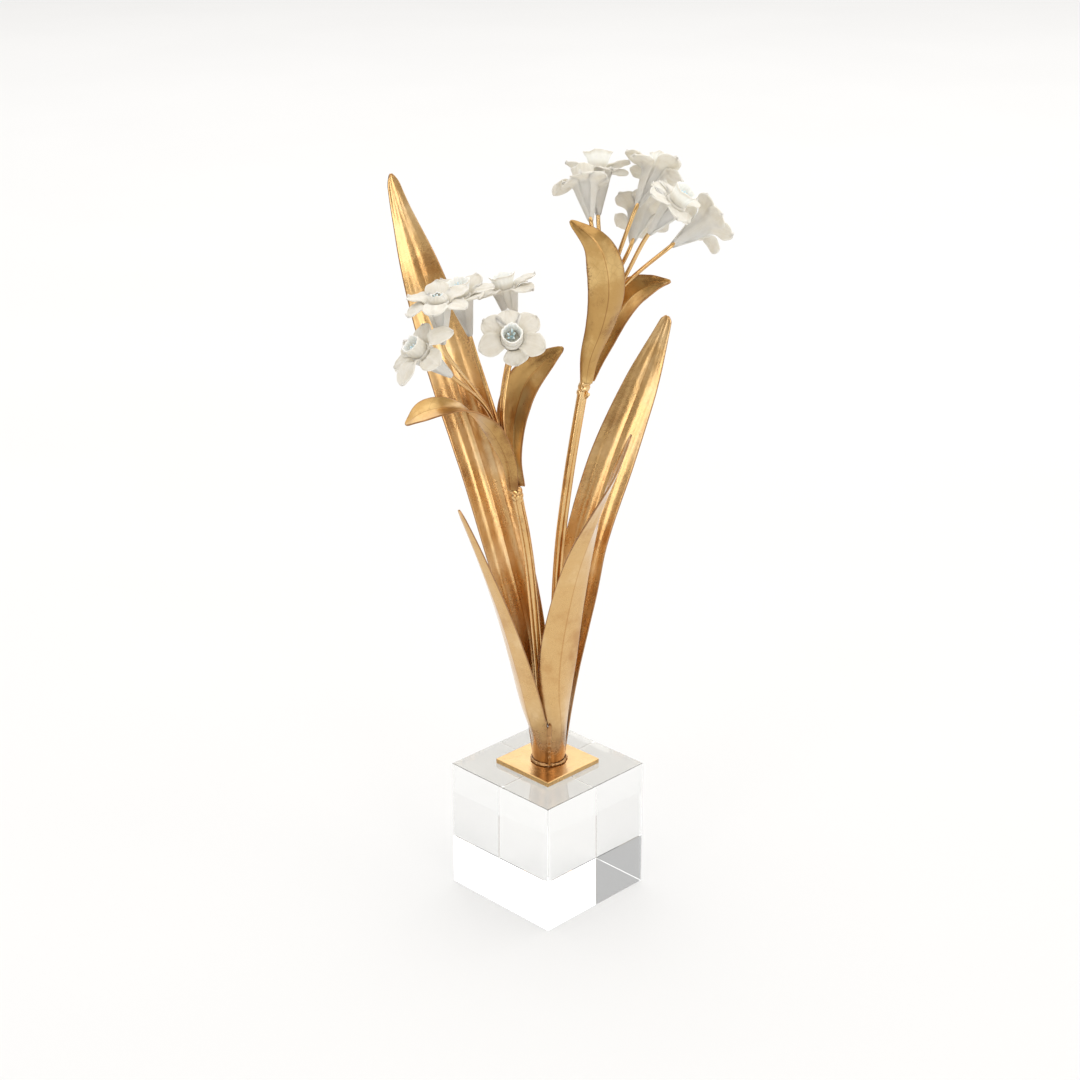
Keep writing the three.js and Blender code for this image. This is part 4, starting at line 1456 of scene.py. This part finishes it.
@dataclass
class Studio:
    """The floor, the room's light, the soft lights and the camera.

    Places are in the plant's frame. The camera's clip and the floor's sizes are in metres. An
    edge is the range of a direction's share along an axis over which the room's light changes.
    """

    camera_place: Point = (-4.0, -1057.4, 638.5)
    camera_aim: Point = (-4.0, 0.0, 211.1)
    camera_roll: float = math.radians(-0.11)
    focal_length: float = 70.7
    sensor_width: float = 36.0
    clip_start: float = 0.05
    floor_half_size: float = 12.0
    floor_drop: float = 0.0003
    room_light: Colour = (0.38, 0.33, 0.27)
    backdrop_light: float = 0.85
    wall_light: float = 0.9
    backdrop_edge: Span = (0.1, 0.5)
    wall_edge: Span = (0.62, 0.8)
    left_light: float = 0.52
    left_edge: Span = (-0.62, -0.82)
    softboxes: tuple[Softbox, ...] = (
        Softbox("ceiling", (650, 1350, 1600), (650, 1360, 0), (5.9, 4.7), 1.0),
        Softbox("softbox_right", (700, -1290, 480), (0, 0, 220), (0.5, 1.3), 2.75),
        Softbox("softbox_left", (-930, -1130, 420), (0, 0, 220), (0.45, 1.3), 2.5),
    )

    def build_camera(self) -> None:
        """Adds the camera at the photograph's angle."""
        data = bpy.data.cameras.new("camera")
        data.lens = self.focal_length
        data.sensor_width = self.sensor_width
        data.clip_start = self.clip_start
        item = new_object("camera", data)
        roll = Matrix.Rotation(self.camera_roll, 4, "Z")
        item.matrix_world = aimed(self.camera_place, self.camera_aim) @ roll
        bpy.context.scene.camera = item

    def build_floor(self) -> None:
        """Adds the pale floor."""
        mesh = bmesh.new()
        bmesh.ops.create_grid(mesh, x_segments=2, y_segments=2, size=self.floor_half_size)
        bmesh.ops.translate(mesh, vec=(0, 0, -self.floor_drop), verts=mesh.verts[:])
        data = bpy.data.meshes.new("floor")
        mesh.to_mesh(data)
        mesh.free()
        data.materials.append(PaleFloor().material())
        new_object("floor", data)

    def build_surroundings(self) -> None:
        """Makes the room: pale behind the plant and to its right, dimmer to its left, dim elsewhere."""
        world = bpy.data.worlds.new("room")
        world.use_nodes = True
        tree = world.node_tree
        tree.nodes.clear()
        new, join = tree.nodes.new, tree.links.new
        coordinates = new("ShaderNodeTexCoord")
        turned = new("ShaderNodeMapping")
        turned.inputs["Rotation"].default_value = (0, 0, -PLANT_TURN)
        split = new("ShaderNodeSeparateXYZ")
        join(coordinates.outputs["Generated"], turned.inputs["Vector"])
        join(turned.outputs["Vector"], split.inputs[0])
        shares = []
        for axis, low, high in (("Y", *self.backdrop_edge), ("X", *self.wall_edge), ("X", *self.left_edge)):
            share = new("ShaderNodeMapRange")
            share.interpolation_type = "SMOOTHSTEP"
            share.inputs["From Min"].default_value = low
            share.inputs["From Max"].default_value = high
            join(split.outputs[axis], share.inputs["Value"])
            shares.append(share.outputs["Result"])
        light: object = (*self.room_light, 1.0)
        for share, value in zip(shares, (self.backdrop_light, self.wall_light, self.left_light)):
            blend = new("ShaderNodeMix")
            blend.data_type = "RGBA"
            join(share, blend.inputs["Factor"])
            if isinstance(light, Socket):
                join(light, blend.inputs[MIX_FIRST])
            else:
                blend.inputs[MIX_FIRST].default_value = light
            blend.inputs[MIX_SECOND].default_value = (value, value, value, 1.0)
            light = blend.outputs[MIX_RESULT]
        background = new("ShaderNodeBackground")
        output = new("ShaderNodeOutputWorld")
        join(light, background.inputs["Color"])
        join(background.outputs[0], output.inputs[0])
        bpy.context.scene.world = world

    def build(self) -> None:
        """Adds everything round the ornament."""
        self.build_camera()
        self.build_floor()
        self.build_surroundings()
        for softbox in self.softboxes:
            softbox.build()
        bpy.context.scene.view_settings.view_transform = "Standard"


def build_all() -> None:
    """Builds and dresses every piece, in the order in which the ornament is put together."""
    leaf_gold = Gilding("pale gilding", Grain.ALONG_BLADE,
                        (0.81, 0.575, 0.29), (0.69, 0.43, 0.165), (0.52, 0.26, 0.07),
                        heat=0.8, lacquer=1.0).material()
    # The spathes' painted rim shade runs further in than the leaves'.
    spathe_gold = Gilding("aged gilding", Grain.ALONG_BLADE,
                          (0.76, 0.52, 0.21), (0.53, 0.31, 0.096), (0.27, 0.12, 0.028), wear=0.9,
                          roughness=0.3, rim_shade=(0.42, 0.49)).material()
    rod_gold = Gilding("gilding", Grain.ALL_OVER,
                       (0.84, 0.6, 0.3), (0.74, 0.47, 0.19), (0.5, 0.26, 0.085), roughness=0.2).material()
    weld_gold = Gilding("weld gilding", Grain.ALL_OVER,
                        (0.56, 0.34, 0.15), (0.42, 0.22, 0.08), (0.24, 0.11, 0.035),
                        roughness=0.32).material()
    plate_gold = Gilding("plate gilding", Grain.ALL_OVER,
                         (0.76, 0.5, 0.22), (0.66, 0.41, 0.16), (0.48, 0.26, 0.085),
                         roughness=0.24).material()
    porcelain = Porcelain().material()
    blue = BlueGlaze().material()

    base = Base()
    base.build_block().finish(ClearBlock().material(), sharp=True)
    base.build_plate().finish(plate_gold, sharp=True)
    FootWeld().build().finish(weld_gold)
    for blade in leaves():
        blade.build().finish(leaf_gold)
    for blade in spathes():
        blade.build().finish(spathe_gold)
    seed = FIRST_SEED
    for head in (LEFT_HEAD, RIGHT_HEAD):
        Stem(head).build().finish(rod_gold)
        for k, spec in enumerate(head.flowers, start=1):
            seed += SEED_STEP
            draws = Draws(seed)
            Flower(f"flower_{head.side}_{k}", spec, draws).build().finish(porcelain)
            Stamens(f"stamens_{head.side}_{k}", spec, draws).build().finish(blue)


def main() -> None:
    """Builds the ornament and its studio."""
    logging.basicConfig(level=logging.INFO, format="%(name)s %(message)s")
    build_all()
    Studio().build()


if __name__ == "__main__":
    main()
